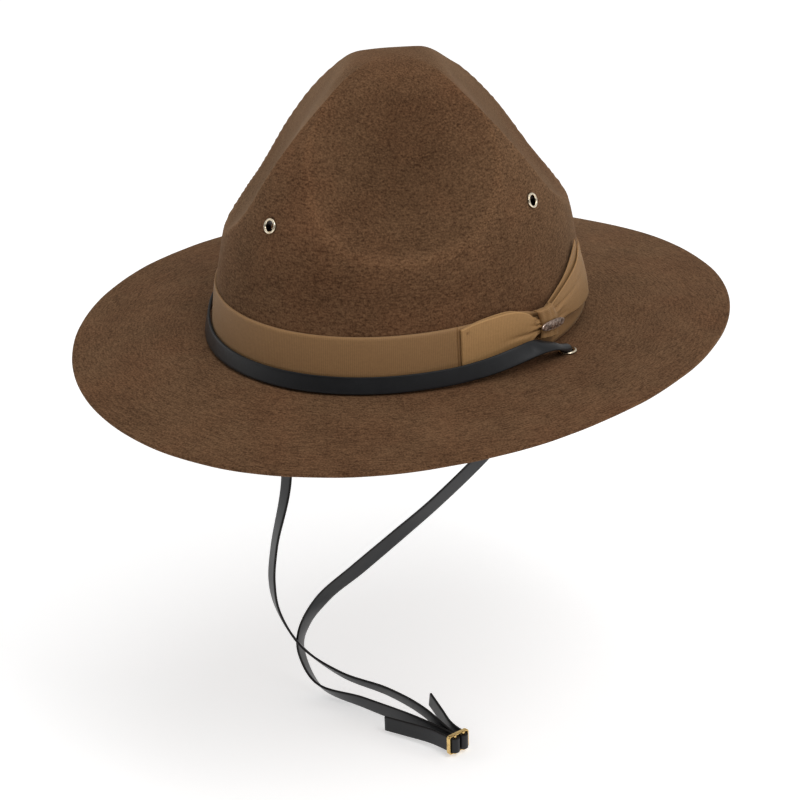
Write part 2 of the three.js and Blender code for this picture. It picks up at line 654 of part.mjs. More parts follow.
// The short stretch down through a brim eyelet, from above the flange to below the washer.
function eyeletStations(eyelet) {
  const seat = brimSeat(rad(eyelet.angle));
  const outward = new THREE.Vector3(Math.cos(rad(eyelet.angle)), 0, 0).normalize();
  return [2, 0.4, -BRIM_THICKNESS - 0.4, -BRIM_THICKNESS - 3].map((height) => station(
    seat.point.clone().addScaledVector(seat.normal, height), outward.clone(), pinchWidth));
}

function strapStations() {
  const [left, right] = BRIM_EYELETS;
  const leftTop = brimSeat(rad(left.angle)).point;
  const rightTop = brimSeat(rad(right.angle)).point;
  const front = [];
  const first = left.angle - BRIM_STRETCH.at(-1).angle;
  const last = right.angle + BRIM_STRETCH.at(-1).angle - 360;
  for (let step = 1; step <= FRONT_STATIONS; step += 1) {
    const angle = rad(lerp(first, last, step / (FRONT_STATIONS + 1)));
    const point = brimPoint(angle, (strapOffset + FRONT_CLEARANCE) / BRIM_WIDTH);
    const outward = brimPoint(angle, 1).sub(brimPoint(angle, 0)).setZ(0).normalize();
    point.z += Math.cos(FRONT_LEAN) * STRAP_WIDTH / 2 + 3 * CLEARANCE;
    front.push(station(point, leaningAcross(outward, FRONT_LEAN)));
  }
  return [
    ...strapEnd(FOLDED_END, STRAP_FOLD_LENGTH, -1),
    ...barTurn(-1),
    ...strapLeg(LEFT_LEG, leftTop),
    ...eyeletStations(left).reverse(),
    ...brimStretch(left, -1),
    ...front,
    ...brimStretch(right, 1).reverse(),
    ...eyeletStations(right),
    ...strapLeg(RIGHT_LEG, rightTop).reverse(),
    ...barTurn(1).reverse(),
    ...strapEnd(FREE_END, STRAP_TAIL_LENGTH, 1),
  ];
}

function chinStrap() {
  const stations = strapStations();
  for (let i = 1; i < stations.length; i += 1) {
    if (stations[i].across.dot(stations[i - 1].across) < 0) stations[i].across.negate();
  }
  const path = new THREE.CatmullRomCurve3(stations.map((row) => row.point), false, 'centripetal');
  const acrossPath = new THREE.CatmullRomCurve3(stations.map((row) => row.across));
  const spans = stations.length - 1;
  const points = [];
  for (let span = 0; span < spans; span += 1) {
    const length = stations[span + 1].point.distanceTo(stations[span].point);
    const steps = clamp(Math.round(length / 8), 1, 4);
    const count = span === spans - 1 ? steps + 1 : steps;
    for (let step = 0; step < count; step += 1) {
      const place = (span + step / steps) / spans;
      const middle = path.getPoint(place);
      const tangent = path.getTangent(place);
      const face = tangent.clone().cross(acrossPath.getPoint(place)).normalize();
      const across = face.clone().cross(tangent).normalize();
      const next = stations[Math.min(span + 1, spans)];
      const width = lerp(stations[span].width, next.width, step / steps);
      for (const [a, b] of [[-0.5, -0.5], [0.5, -0.5], [0.5, 0.5], [-0.5, 0.5]]) {
        points.push(middle.clone().addScaledVector(across, a * width)
          .addScaledVector(face, b * STRAP_THICKNESS));
      }
    }
  }
  const sections = points.length / 4;
  const triangles = [...square(3, 2, 1, 0)];
  for (let i = 0; i < sections - 1; i += 1) {
    for (let k = 0; k < 4; k += 1) {
      const next = (k + 1) % 4;
      triangles.push(...square(4 * i + k, 4 * i + next, 4 * i + 4 + next, 4 * i + 4 + k));
    }
  }
  const end = 4 * (sections - 1);
  triangles.push(...square(end, end + 1, end + 2, end + 3));
  return meshOf('chin_strap', geometryOf(points, triangles), leather);
}

// Assembly
const hat = new THREE.Group();
hat.add(feltBody());
hat.add(hatBand());
hat.add(bowPiece('bow_front_wing', FRONT_WING, 6));
hat.add(bowPiece('bow_rear_wing', REAR_WING, 6));
hat.add(bowKnot());
hat.add(pinPlate());
for (const vent of VENTS) {
  const seat = ventSeat(rad(vent.angle));
  const geometry = eyeletGeometry(VENT_BORE, VENT_FLANGE, FELT_WALL, seat);
  hat.add(meshOf(`vent_eyelet_${vent.name}`, placed(geometry, seat), brass));
}
for (const eye of BRIM_EYELETS) {
  const seat = brimSeat(rad(eye.angle));
  const geometry = eyeletGeometry(BRIM_EYELET_BORE, BRIM_EYELET_FLANGE, BRIM_THICKNESS, seat);
  hat.add(meshOf(`brim_eyelet_${eye.name}`, placed(geometry, seat), brass));
}
hat.add(chinStrap());
hat.add(buckleFrame());

export default hat;
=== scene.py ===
"""Campaign hat: brushed felt, ribbon bow, leather chin strap and brass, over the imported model.

Lengths are metres, +Z is up, the hat's front faces -Y and the bow sits on the wearer's left, +X.
"""

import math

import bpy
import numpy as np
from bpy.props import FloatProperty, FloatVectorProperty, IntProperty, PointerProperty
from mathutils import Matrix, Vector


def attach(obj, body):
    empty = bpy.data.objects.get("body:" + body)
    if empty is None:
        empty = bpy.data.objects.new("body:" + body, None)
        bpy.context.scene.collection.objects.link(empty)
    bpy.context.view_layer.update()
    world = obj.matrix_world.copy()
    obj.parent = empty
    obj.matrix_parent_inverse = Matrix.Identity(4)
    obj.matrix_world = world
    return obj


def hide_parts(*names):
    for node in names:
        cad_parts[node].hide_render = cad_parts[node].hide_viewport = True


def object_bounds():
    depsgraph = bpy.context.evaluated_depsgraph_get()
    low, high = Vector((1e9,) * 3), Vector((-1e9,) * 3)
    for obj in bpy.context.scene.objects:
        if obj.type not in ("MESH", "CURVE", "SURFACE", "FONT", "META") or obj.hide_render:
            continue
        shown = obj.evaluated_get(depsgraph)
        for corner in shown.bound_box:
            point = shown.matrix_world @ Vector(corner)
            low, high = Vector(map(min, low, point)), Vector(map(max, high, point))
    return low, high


bl_info = {
    "name": "Campaign Hat",
    "version": (1, 0, 0),
    "blender": (4, 5, 0),
    "location": "View3D > Sidebar > Hat",
    "description": "Builds a felt campaign hat with its ribbon bow, eyelets and chin strap",
    "category": "Add Mesh",
}

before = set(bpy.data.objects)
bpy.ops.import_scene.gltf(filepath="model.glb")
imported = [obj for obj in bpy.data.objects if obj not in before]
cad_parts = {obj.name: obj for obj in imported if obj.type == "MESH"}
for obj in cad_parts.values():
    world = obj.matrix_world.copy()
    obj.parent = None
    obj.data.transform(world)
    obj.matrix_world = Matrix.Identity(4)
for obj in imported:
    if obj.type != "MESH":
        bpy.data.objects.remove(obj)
CAD_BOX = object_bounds()
BODY = "root"
MM = 0.001
GAP = 0.3 * MM  # clearance between neighbouring pieces

# The crown's upright section: share of the base oval, share of the crown's height.
CROWN_SECTION = [
    (1.000, 0.000), (0.990, 0.100), (0.972, 0.213), (0.936, 0.355), (0.902, 0.440),
    (0.870, 0.497), (0.838, 0.553), (0.803, 0.610), (0.762, 0.667), (0.710, 0.723),
    (0.645, 0.780), (0.565, 0.837), (0.472, 0.890), (0.375, 0.938), (0.270, 0.972),
    (0.140, 0.993), (0.000, 1.000),
]
# Each dent: direction and half spread in degrees, foot as a share of the height, depth as a
# share of the base oval.
CROWN_DENTS = [
    (-43.0, 58.0, 0.457, 0.210),
    (-142.0, 45.5, 0.398, 0.185),
    (50.5, 47.0, 0.408, 0.200),
    (132.0, 43.0, 0.455, 0.175),
]
# Powers that shape a dent: its spread by its climb, the climb inside its sine, that sine, and the
# fall to its sides. Then the share that the shallower dents add where they overlap.
DENT_OPENING, DENT_RUN, DENT_FULLNESS, DENT_EDGE = 0.38, 1.08, 0.62, 0.85
DENT_BLEND = 0.15
# The crown leans from LEAN_START up to the shoulder, by shares of its half axes: left and back at
# the shoulder, then at the peak.
LEAN_START, SHOULDER, SHOULDER_TO_PEAK = 0.284, 0.567, 0.433
SHOULDER_LEFT, SHOULDER_BACK, PEAK_LEFT, PEAK_BACK = 0.054, -0.057, 0.014, -0.034
# The brim's edge: mean height and waves to the left, back, sides and corners, by brim width.
BRIM_EDGE = (-0.078, 0.047, 0.028, 0.046, 0.025)
BRIM_CURVE = 1.15  # power of the reach by which the brim takes on its edge's height
# Mesh rows down the crown, out along the brim, round the break and round the brim's edge.
CROWN_ROWS, BRIM_ROWS, BREAK_ROWS, RIM_ROWS = 112, 40, 9, 8
# The drills for the eyelets: sides, half length, and room round the bore for the barrel.
DRILL_SIDES, DRILL_REACH, BARREL_ROOM = 24, 9 * MM, 0.75 * MM

# Bow rows: low and high angle in degrees, low and high height and stand-off by band height.
FRONT_WING = [
    (-28.8, -28.7, 0.01, 0.95, 0.000, 0.010),
    (-24.0, -23.4, 0.05, 1.03, 0.008, 0.050),
    (-17.5, -17.0, 0.10, 1.06, 0.020, 0.090),
    (-11.8, -11.7, 0.18, 1.03, 0.040, 0.110),
    (-6.4, -7.0, 0.28, 0.91, 0.060, 0.100),
    (-3.0, -3.6, 0.40, 0.75, 0.070, 0.080),
    (0.8, -1.0, 0.44, 0.70, 0.072, 0.075),
]
REAR_WING_BACK = [
    (4.0, 2.2, 0.41, 0.84, 0.045, 0.020),
    (11.0, 8.5, 0.44, 1.00, 0.045, 0.010),
    (18.0, 14.5, 0.40, 1.14, 0.045, 0.002),
    (25.0, 21.5, 0.36, 1.33, 0.045, -0.008),
    (32.0, 29.0, 0.36, 1.52, 0.045, -0.010),
]
REAR_WING_FACE = [
    (4.0, 2.4, 0.41, 0.82, 0.080, 0.075),
    (11.0, 10.0, 0.44, 0.97, 0.100, 0.072),
    (18.0, 17.5, 0.385, 1.10, 0.110, 0.060),
    (25.5, 25.0, 0.34, 1.23, 0.105, 0.045),
    (32.0, 30.5, 0.34, 1.42, 0.090, 0.020),
]
# The band: its seam's angle in degrees, its mesh, how far, where and how widely it is pressed
# lower under the bow, and its seam's groove.
BAND_SEAM = -29.5
BAND_COLUMNS, BAND_ROWS = 420, 13
BAND_PINCH, PINCH_ANGLE, PINCH_SPREAD = 6.5 * MM, math.radians(3), math.radians(9)
SEAM_DEPTH, SEAM_HALF = 1.0 * MM, 0.42 * MM
BOW_KNOT = [
    (-2.5, 5.0, 0.30, 0.22, 0.150, 0.150),
    (-2.0, 5.4, 0.58, 0.56, 0.158, 0.158),
    (-3.2, 3.4, 0.87, 0.88, 0.152, 0.152),
]
THREAD_STEPS, THREAD_SIDES = 14, 5

# Strap legs: share of the straight run from buckle to eyelet, offsets to the left, back and up
# by the strap's drop, and the turn of its width in degrees.
LEFT_LEG = [
    (0.08, -0.155, 0.001, -0.081, 6), (0.18, -0.338, -0.002, -0.189, 18),
    (0.26, -0.494, -0.021, -0.262, 46), (0.31, -0.547, -0.038, -0.235, 66),
    (0.36, -0.535, -0.061, -0.201, 93), (0.43, -0.484, -0.073, -0.169, 124),
    (0.52, -0.394, -0.085, -0.148, 134), (0.62, -0.298, -0.093, -0.128, 130),
    (0.71, -0.210, -0.095, -0.106, 122), (0.81, -0.120, -0.084, -0.075, 120),
    (0.88, -0.069, -0.048, -0.049, 84), (0.95, -0.029, -0.017, -0.027, 34),
]
RIGHT_LEG = [
    (0.09, -0.062, 0.015, -0.065, 20), (0.17, -0.126, 0.014, -0.134, 29),
    (0.26, -0.190, -0.025, -0.205, 37), (0.34, -0.227, -0.075, -0.221, 42),
    (0.42, -0.218, -0.117, -0.202, 36), (0.47, -0.198, -0.127, -0.178, 28),
    (0.53, -0.163, -0.117, -0.153, 30), (0.65, -0.085, -0.079, -0.114, 12),
    (0.81, -0.045, -0.040, -0.061, 8), (0.94, -0.012, -0.002, -0.020, 4),
]
# The stretch on the brim: degrees forward of the eyelet, share of the way out to it, extra
# height by strap width, width lost and degrees from upright.
BRIM_STRETCH = [
    (3.5, 1.00, 0.38, 0.60, 84), (6.5, 1.00, 0.68, 0.25, 76), (11.0, 0.98, 0.80, 0.05, 56),
    (14.0, 0.90, 0.72, 0.00, 42), (17.5, 0.80, 0.60, 0.00, 32), (25.0, 0.54, 0.34, 0.00, 22),
    (31.0, 0.38, 0.20, 0.00, 14), (39.0, 0.24, 0.10, 0.00, 12), (54.0, 0.08, 0.02, 0.00, 14),
]
STRAP_LEAN = math.radians(14)  # of the top edge towards the crown, round the front
STRAP_STEP, STRAP_CORNER = 1.3 * MM, 0.45 * MM  # mesh step, and radius of the cut edges
# The strap's two ends at the buckle: shares of the end's length back, sideways and up.
FOLDED_END = [(1.00, -0.310, -0.022), (0.70, -0.220, -0.016), (0.35, -0.130, -0.004)]
FREE_END = [(0.12, 0.100, 0.000), (0.35, 0.125, 0.015), (0.65, 0.215, 0.075), (1.00, 0.320, 0.150)]
# The buckle: its middle by the strap's drop, its turn, its wire's width and depth, its bars'
# radius and domed ends, and how far the bars stand ahead of its middle.
BUCKLE_PLACE, BUCKLE_TURN = (0.2255, -0.103, -1.0), math.radians(-10)
WIRE, WIRE_DEPTH, BAR_RADIUS, BAR_DOME, BAR_FORWARD = (k * MM for k in (0.9, 2.4, 0.9, 0.3, 1.0))

# Eyelets by their angle in degrees, anticlockwise from the wearer's left as seen from above.
VENTS = {"front": -97.0, "left": 9.0, "back": 92.0, "right": 172.0}
BRIM_EYELETS = {"left": 5.0, "right": 175.0}
TURN_STEPS, BAR_SIDES = 48, 24
# The pin's half length, half height and thickness.
PIN_SIZE = (8.5 * MM, 2.4 * MM, 0.75 * MM)

# The camera: azimuth, elevation and roll in degrees, and its place.
CAMERA_ANGLES = (38.9926, 24.4175, -1.4275)
CAMERA_PLACE = (0.952815, -1.178806, 0.639476)
# The floor's half side and its place under the hat, the point that the lamps face, and the
# direction from which the surrounding light is dim.
FLOOR_HALF, FLOOR_DROP = 6.0, 0.4 * MM
LIGHT_TARGET, DIM_WAY = (0, 0, 0.02), (0.25, -0.97, 0.0)


def length_setting(name, description, millimetres):
    """A setting that holds a length."""
    return FloatProperty(name=name, description=description, default=millimetres * MM,
                         unit="LENGTH")


def colour_setting(name, description, *default):
    """A setting that holds a colour."""
    return FloatVectorProperty(name=name, description=description, default=default,
                               subtype="COLOR")


def number_setting(name, description, default):
    """A setting that holds a plain number."""
    return FloatProperty(name=name, description=description, default=default)


class HAT_PG_felt(bpy.types.PropertyGroup):
    """Sizes and colours of the felt crown and brim."""

    crown_width: length_setting("Crown width", "Side to side at the break", 176.4)
    crown_length: length_setting("Crown length", "Front to back at the break", 206.8)
    crown_height: length_setting("Crown height", "Break to peak", 141)
    wall: length_setting("Wall", "Felt thickness in the crown", 2)
    brim_width: length_setting("Brim width", "Break to edge", 73.5)
    brim_thickness: length_setting("Brim thickness", "Felt thickness in the brim", 2.2)
    set_back: length_setting("Brim set back", "Brim middle behind crown middle", 2.1)
    break_radius: length_setting("Break radius", "Turn from crown to brim", 2)
    columns: IntProperty(name="Columns", description="Mesh columns round the hat", default=296)
    dark: colour_setting("Dark felt", "Deep nap colour", 0.052, 0.0245, 0.0118)
    light: colour_setting("Light felt", "Raised nap colour", 0.185, 0.101, 0.052)


class HAT_PG_ribbon(bpy.types.PropertyGroup):
    """Sizes and colours of the band and bow."""

    height: length_setting("Ribbon width", "Height of the band", 26)
    band: length_setting("Band thickness", "Thickness of the band", 1)
    layer: length_setting("Layer thickness", "Thickness of one layer of the bow", 0.55)
    rib: length_setting("Rib pitch", "Spacing of the ribs", 0.95)
    color: colour_setting("Ribbon", "Ribbon colour", 0.305, 0.170, 0.071)
    # The groove colour is painted shade between the ribs.
    groove: colour_setting("Groove", "Colour between the ribs", 0.225, 0.122, 0.050)


class HAT_PG_strap(bpy.types.PropertyGroup):
    """Sizes and colours of the chin strap."""

    width: length_setting("Width", "Strap width", 8.6)
    thickness: length_setting("Thickness", "Strap thickness", 1.6)
    leather: length_setting("Leather", "Thickness of the leather as seen", 1.3)
    drop: length_setting("Drop", "Buckle below the break", 224.4)
    fold: length_setting("Folded end", "Length folded back at the buckle", 43)
    tail: length_setting("Tail", "Length of the free end", 37)
    color: colour_setting("Leather", "Leather colour", 0.0052, 0.0056, 0.0068)
    edge: colour_setting("Cut edge", "Colour of the cut edges", 0.0085, 0.0072, 0.0068)


class HAT_PG_metal(bpy.types.PropertyGroup):
    """Sizes and colours of the eyelets, buckle and pin."""

    vent_bore: length_setting("Vent bore", "Inside of a crown vent", 5.2)
    vent_flange: length_setting("Vent flange", "Outside of a crown vent", 7.9)
    vent_height: length_setting("Vent height", "Vents above the break", 76.5)
    brim_bore: length_setting("Brim bore", "Inside of a brim eyelet", 5.8)
    brim_flange: length_setting("Brim flange", "Outside of a brim eyelet", 9.4)
    brim_reach: length_setting("Brim reach", "Brim eyelets out from the crown", 10.3)
    sheet: length_setting("Sheet", "Metal thickness", 0.5)
    pale: colour_setting("Pale brass", "Colour of the eyelets", 0.86, 0.77, 0.60)
    brass: colour_setting("Brass", "Brass colour", 0.80, 0.56, 0.22)
    tarnish: colour_setting("Tarnish", "Colour of dulled brass", 0.36, 0.22, 0.09)
    pewter: colour_setting("Pin", "Colour of the pin", 0.20, 0.155, 0.13)


class HAT_PG_stage(bpy.types.PropertyGroup):
    """Floor, light and camera."""

    floor: colour_setting("Floor", "Floor colour", 0.94, 0.94, 0.94)
    glow: number_setting("Floor glow", "Light that the floor gives off", 0.45)
    ambient: number_setting("Ambient", "Even light from all round", 0.56)
    dim: number_setting("Dim side", "Light from behind the camera", 0.08)
    left: number_setting("Left light", "Power of the left softbox, in watts", 1.5)
    key: number_setting("Key light", "Power of the right softbox, in watts", 9.0)
    top: number_setting("Top light", "Power of the overhead softbox, in watts", 4.0)
    lens: number_setting("Lens", "Focal length in millimetres", 144.47)


# Curves and surfaces


def smooth_path(rows, steps):
    """Uniform Catmull-Rom spline through the rows, read at evenly spaced parameter values:
    each span blends its two ends with half-chord tangents by the cubic Hermite weights."""
    p = np.asarray(rows, float)
    q = np.vstack([p[:1], p, p[-1:]])
    t = np.linspace(0, len(p) - 1, steps)
    i = np.minimum(t.astype(int), len(p) - 2)
    w = (t - i)[:, None]
    a, b = q[i + 1], q[i + 2]
    u, v = (b - q[i]) / 2, (q[i + 3] - a) / 2
    return (2 * a - 2 * b + u + v) * w**3 + (3 * b - 3 * a - 2 * u - v) * w**2 + u * w + a


def centripetal_path(rows, spans, weights):
    """Centripetal Catmull-Rom spline: the parameter grows with the square root of the chord, and
    the end tangents come from points mirrored past the ends."""
    p = np.asarray(rows, float)
    q = np.vstack([2 * p[:1] - p[1:2], p, 2 * p[-1:] - p[-2:-1]])
    x0, x1, x2, x3 = (q[spans + k] for k in range(4))

    def gap(a, b):
        """Square root of the chord from a to b."""
        return np.sqrt(np.linalg.norm(b[:, :3] - a[:, :3], axis=1))[:, None].clip(1e-4)

    d0, d1, d2 = gap(x0, x1), gap(x1, x2), gap(x2, x3)
    t1 = ((x1 - x0) / d0 - (x2 - x0) / (d0 + d1) + (x2 - x1) / d1) * d1
    t2 = ((x2 - x1) / d1 - (x3 - x1) / (d1 + d2) + (x3 - x2) / d2) * d1
    w = weights[:, None]
    return (2 * x1 - 2 * x2 + t1 + t2) * w**3 + (3 * x2 - 3 * x1 - 2 * t1 - t2) * w**2 + t1 * w + x1


def unit(v):
    """The vectors divided by their lengths."""
    return v / np.linalg.norm(v, axis=-1, keepdims=True).clip(1e-12)


def running_length(points):
    """Length along a line of points, from 0 at the first."""
    return np.concatenate([[0], np.cumsum(np.linalg.norm(np.diff(points, axis=0), axis=1))])


def ring_angles(count):
    """Evenly spaced angles round a full turn."""
    return np.arange(count) * 2 * np.pi / count


def bell(x, middle, width, power=2):
    """The bell exp(-((x - middle) / width)^power)."""
    return np.exp(-(((x - middle) / width) ** power))


def smoothstep(x, low, high):
    """The cubic 3t^2 - 2t^3 from 0 at low to 1 at high."""
    t = np.clip((x - low) / (high - low), 0, 1)
    return t * t * (3 - 2 * t)


SECTION = smooth_path(CROWN_SECTION, 4001)


def dent_depth(angle, height):
    """Depth of the four dents by the base oval. Each widens upwards as a power of its climb, is a
    power of a sine of the climb along its length, and falls to its sides as a power of 1 - a^2.
    The deepest one counts, with a small share of the others, which leaves a crisp ridge."""
    depths = []
    for direction, spread, foot, deep in CROWN_DENTS:
        climb = np.clip((height - foot) / (1 - foot), 0, 1)
        half = math.radians(spread) * climb**DENT_OPENING + 1e-4
        turn = angle - math.radians(direction)
        away = np.arctan2(np.sin(turn), np.cos(turn)) / half
        across = np.maximum(1 - away**2, 0) ** DENT_EDGE
        along = np.maximum(np.sin(np.pi * climb**DENT_RUN), 0) ** DENT_FULLNESS
        depths.append(np.broadcast_to(deep * across * along, np.broadcast(angle, height).shape))
    deepest = np.max(depths, axis=0)
    return deepest + DENT_BLEND * (np.sum(depths, axis=0) - deepest)


def crown_point(felt, angle, radius, height):
    """The crown's outside: the base oval times the section's radius less the dents, leaning
    forward and to the left over the shoulder and back again to the peak."""
    share = radius - np.minimum(dent_depth(angle, height), radius)
    rise = smoothstep(height, LEAN_START, SHOULDER)
    top = np.clip((height - SHOULDER) / SHOULDER_TO_PEAK, 0, 1)
    left = rise * SHOULDER_LEFT * (1 - top) + PEAK_LEFT * top
    back = rise * SHOULDER_BACK * (1 - top) + PEAK_BACK * top
    a, b = felt.crown_width / 2, felt.crown_length / 2
    x = a * (share * np.cos(angle) + left)
    y = b * (share * np.sin(angle) + back)
    return np.stack(np.broadcast_arrays(x, y, felt.crown_height * height), -1)


def wall_point(felt, angle, z, outward):
    """A point on the crown's wall at a height, moved out along the normal found from small
    steps round and up. Returns the points and the normals."""

    def at(turn, rise):
        """The wall at an angle and a height."""
        h = rise / felt.crown_height
        return crown_point(felt, turn, np.interp(h, SECTION[:, 1], SECTION[:, 0]), h)

    around = at(angle + 0.01, z) - at(angle - 0.01, z)
    up = at(angle, z + 0.5 * MM) - at(angle, np.maximum(z - 0.5 * MM, 0))
    normal = unit(np.cross(around, up))
    return at(angle, z) + normal * np.asarray(outward)[..., None], normal


def brim_point(felt, angle, reach):
    """The brim's top: an oval that grows by the brim's width and moves back with it, with the
    edge's height times the reach to the power BRIM_CURVE."""
    mean, left, back, sides, corners = BRIM_EDGE
    edge = (mean + left * np.cos(angle) + back * np.sin(angle)
            + sides * np.cos(2 * angle) + corners * np.sin(2 * angle))
    grow = felt.brim_width * reach
    x = (felt.crown_width / 2 + grow) * np.cos(angle)
    y = (felt.crown_length / 2 + grow) * np.sin(angle) + felt.set_back * reach
    z = edge * felt.brim_width * np.asarray(reach) ** BRIM_CURVE
    return np.stack(np.broadcast_arrays(x, y, z), -1)


def seat_on(surface, flange):
    """Middle, axis, rise and fall of a small disc laid on surface(x, y)."""
    middle = surface(0.0, 0.0)
    around, upwards = surface(MM, 0.0) - surface(-MM, 0.0), surface(0.0, MM) - surface(0.0, -MM)
    axis = unit(np.cross(around, upwards))
    turn = np.arange(12) * np.pi / 6
    heights = (surface(np.cos(turn) * flange / 2, np.sin(turn) * flange / 2) - middle) @ axis
    return middle, axis, max(heights.max(), 0.0), min(heights.min(), 0.0)


def vent_seat(felt, metal, degrees):
    """Seat of a crown vent."""
    angle = math.radians(degrees)
    radius = np.linalg.norm(wall_point(felt, angle, metal.vent_height, 0.0)[0][:2])
    return seat_on(lambda x, y: wall_point(felt, angle + x / radius, metal.vent_height + y,
                                           np.zeros(np.shape(x)))[0], metal.vent_flange)


def brim_seat(felt, metal, degrees):
    """Seat of a brim eyelet."""
    angle = math.radians(degrees)
    radius = np.linalg.norm(brim_point(felt, angle, metal.brim_reach / felt.brim_width)[:2])
    return seat_on(lambda x, y: brim_point(felt, angle + x / radius,
                                           (metal.brim_reach - y) / felt.brim_width),
                   metal.brim_flange)


# Mesh helpers


def grid_faces(columns, rows, closed_columns=False, closed_rows=False):
    """Quads of a grid stored column by column, and each corner's column and row steps."""
    i = np.arange(columns if closed_columns else columns - 1)
    j = np.arange(rows if closed_rows else rows - 1)
    i, j = (a.ravel() for a in np.meshgrid(i, j, indexing="ij"))
    corners_i = np.stack([i, i + 1, i + 1, i], 1)
    corners_j = np.stack([j, j, j + 1, j + 1], 1)
    return (corners_i % columns) * rows + corners_j % rows, corners_i, corners_j


def add_piece(name, points, faces, material, stands_for=(), uv=None, values=None):
    """A smooth mesh object at the origin that rides on the hat. uv holds one pair a face corner
    and values has named lists of one value a vertex."""
    mesh = bpy.data.meshes.new(name)
    mesh.from_pydata(np.asarray(points, float).reshape(-1, 3).tolist(), [],
                     [[int(k) for k in f] for f in faces])
    if uv is not None:
        layer = mesh.uv_layers.new(name="UVMap")
        layer.data.foreach_set("uv", np.asarray(uv, np.float32).ravel())
    for label, numbers in (values or {}).items():
        attribute = mesh.attributes.new(label, "FLOAT", "POINT")
        attribute.data.foreach_set("value", np.asarray(numbers, np.float32).ravel())
    mesh.validate()
    mesh.update()
    mesh.polygons.foreach_set("use_smooth", np.ones(len(mesh.polygons), bool))
    mesh.materials.append(material)
    piece = bpy.data.objects.new(name, mesh)
    bpy.context.scene.collection.objects.link(piece)
    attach(piece, BODY)
    if stands_for:
        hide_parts(*stands_for)
    return piece


def solidify(piece, thickness):
    """Gives an open sheet its thickness, evenly about its middle."""
    modifier = piece.modifiers.new("Thickness", "SOLIDIFY")
    modifier.thickness = thickness
    modifier.offset = 0.0
    modifier.use_even_offset = True


def apply_modifiers(piece):
    """Puts the piece's finished shape into its own mesh."""
    graph = bpy.context.evaluated_depsgraph_get()
    mesh = bpy.data.meshes.new_from_object(piece.evaluated_get(graph))
    old = piece.data
    piece.modifiers.clear()
    piece.data = mesh
    bpy.data.meshes.remove(old)


def lathe(profile, steps, seat):
    """A closed profile of radius and height turned round the seat's axis."""
    middle, axis = seat[0], Vector(seat[1])
    r, h = np.asarray(profile, float).T
    turn = ring_angles(steps)
    local = np.stack([np.outer(np.cos(turn), r), np.outer(np.sin(turn), r),
                      np.broadcast_to(h, (steps, len(h)))], -1)
    rotation = np.array(axis.to_track_quat("Z", "Y").to_matrix())
    faces = grid_faces(steps, len(r), True, True)[0]
    return local @ rotation.T + middle, faces


# Shader groups and materials


def feed(tree, socket, value):
    """Links a socket to an input, or sets the input to a plain value."""
    if hasattr(value, "is_linked"):
        tree.links.new(value, socket)
    else:
        socket.default_value = value


def node(tree, kind, values=None, **plain):
    """Adds a node with its plain settings, and feeds its inputs by name or number."""
    made = tree.nodes.new(kind)
    for key, value in plain.items():
        setattr(made, key, value)
    for key, value in (values or {}).items():
        feed(tree, made.inputs[key], value)
    return made


def maths(tree, operation, a, b=0.0, clamp=False):
    """A math node; returns its result."""
    return node(tree, "ShaderNodeMath", {0: a, 1: b}, operation=operation,
                use_clamp=clamp).outputs[0]


def scaled(tree, value, factor, plus, clamp=False):
    """value * factor + plus."""
    return maths(tree, "ADD", maths(tree, "MULTIPLY", value, factor), plus, clamp)


def weighted(tree, a, share_a, b, share_b):
    """a * share_a + b * share_b."""
    return maths(tree, "ADD", maths(tree, "MULTIPLY", a, share_a),
                 maths(tree, "MULTIPLY", b, share_b))


def ridges(tree, value, rate):
    """Rounded ridges |sin(value * rate)|."""
    return maths(tree, "ABSOLUTE", maths(tree, "SINE", maths(tree, "MULTIPLY", value, rate)))


def noise(tree, place, scale, detail, roughness=0.5):
    """A noise from 0 to 1."""
    return node(tree, "ShaderNodeTexNoise", {"Vector": place, "Scale": scale, "Detail": detail,
                                             "Roughness": roughness}).outputs["Fac"]


def attribute(tree, name):
    """The value of a mesh attribute."""
    return node(tree, "ShaderNodeAttribute", attribute_name=name).outputs["Fac"]


def blend_colors(tree, factor, a, b, blend_type="MIX"):
    """A colour mix; returns its result."""
    return node(tree, "ShaderNodeMix", {0: factor, 6: a, 7: b}, data_type="RGBA",
                blend_type=blend_type).outputs[2]


def toned(tree, share, color, tone):
    """The colour multiplied by a tone, by a share."""
    return blend_colors(tree, share, color,
                        blend_colors(tree, 1.0, color, rgba(tone), "MULTIPLY"))


def rgba(color, times=1.0):
    """A colour, made brighter or darker, with full alpha."""
    return (*(c * times for c in color), 1.0)


def new_group(name, inputs, outputs):
    """A shader group of number sockets: its tree, what its inputs give and what its outputs
    take."""
    tree = bpy.data.node_groups.new(name, "ShaderNodeTree")
    for label, value in inputs.items():
        socket = tree.interface.new_socket(label, in_out="INPUT", socket_type="NodeSocketFloat")
        socket.default_value = value
    for label in outputs:
        tree.interface.new_socket(label, in_out="OUTPUT", socket_type="NodeSocketFloat")
    return tree, tree.nodes.new("NodeGroupInput").outputs, tree.nodes.new("NodeGroupOutput").inputs


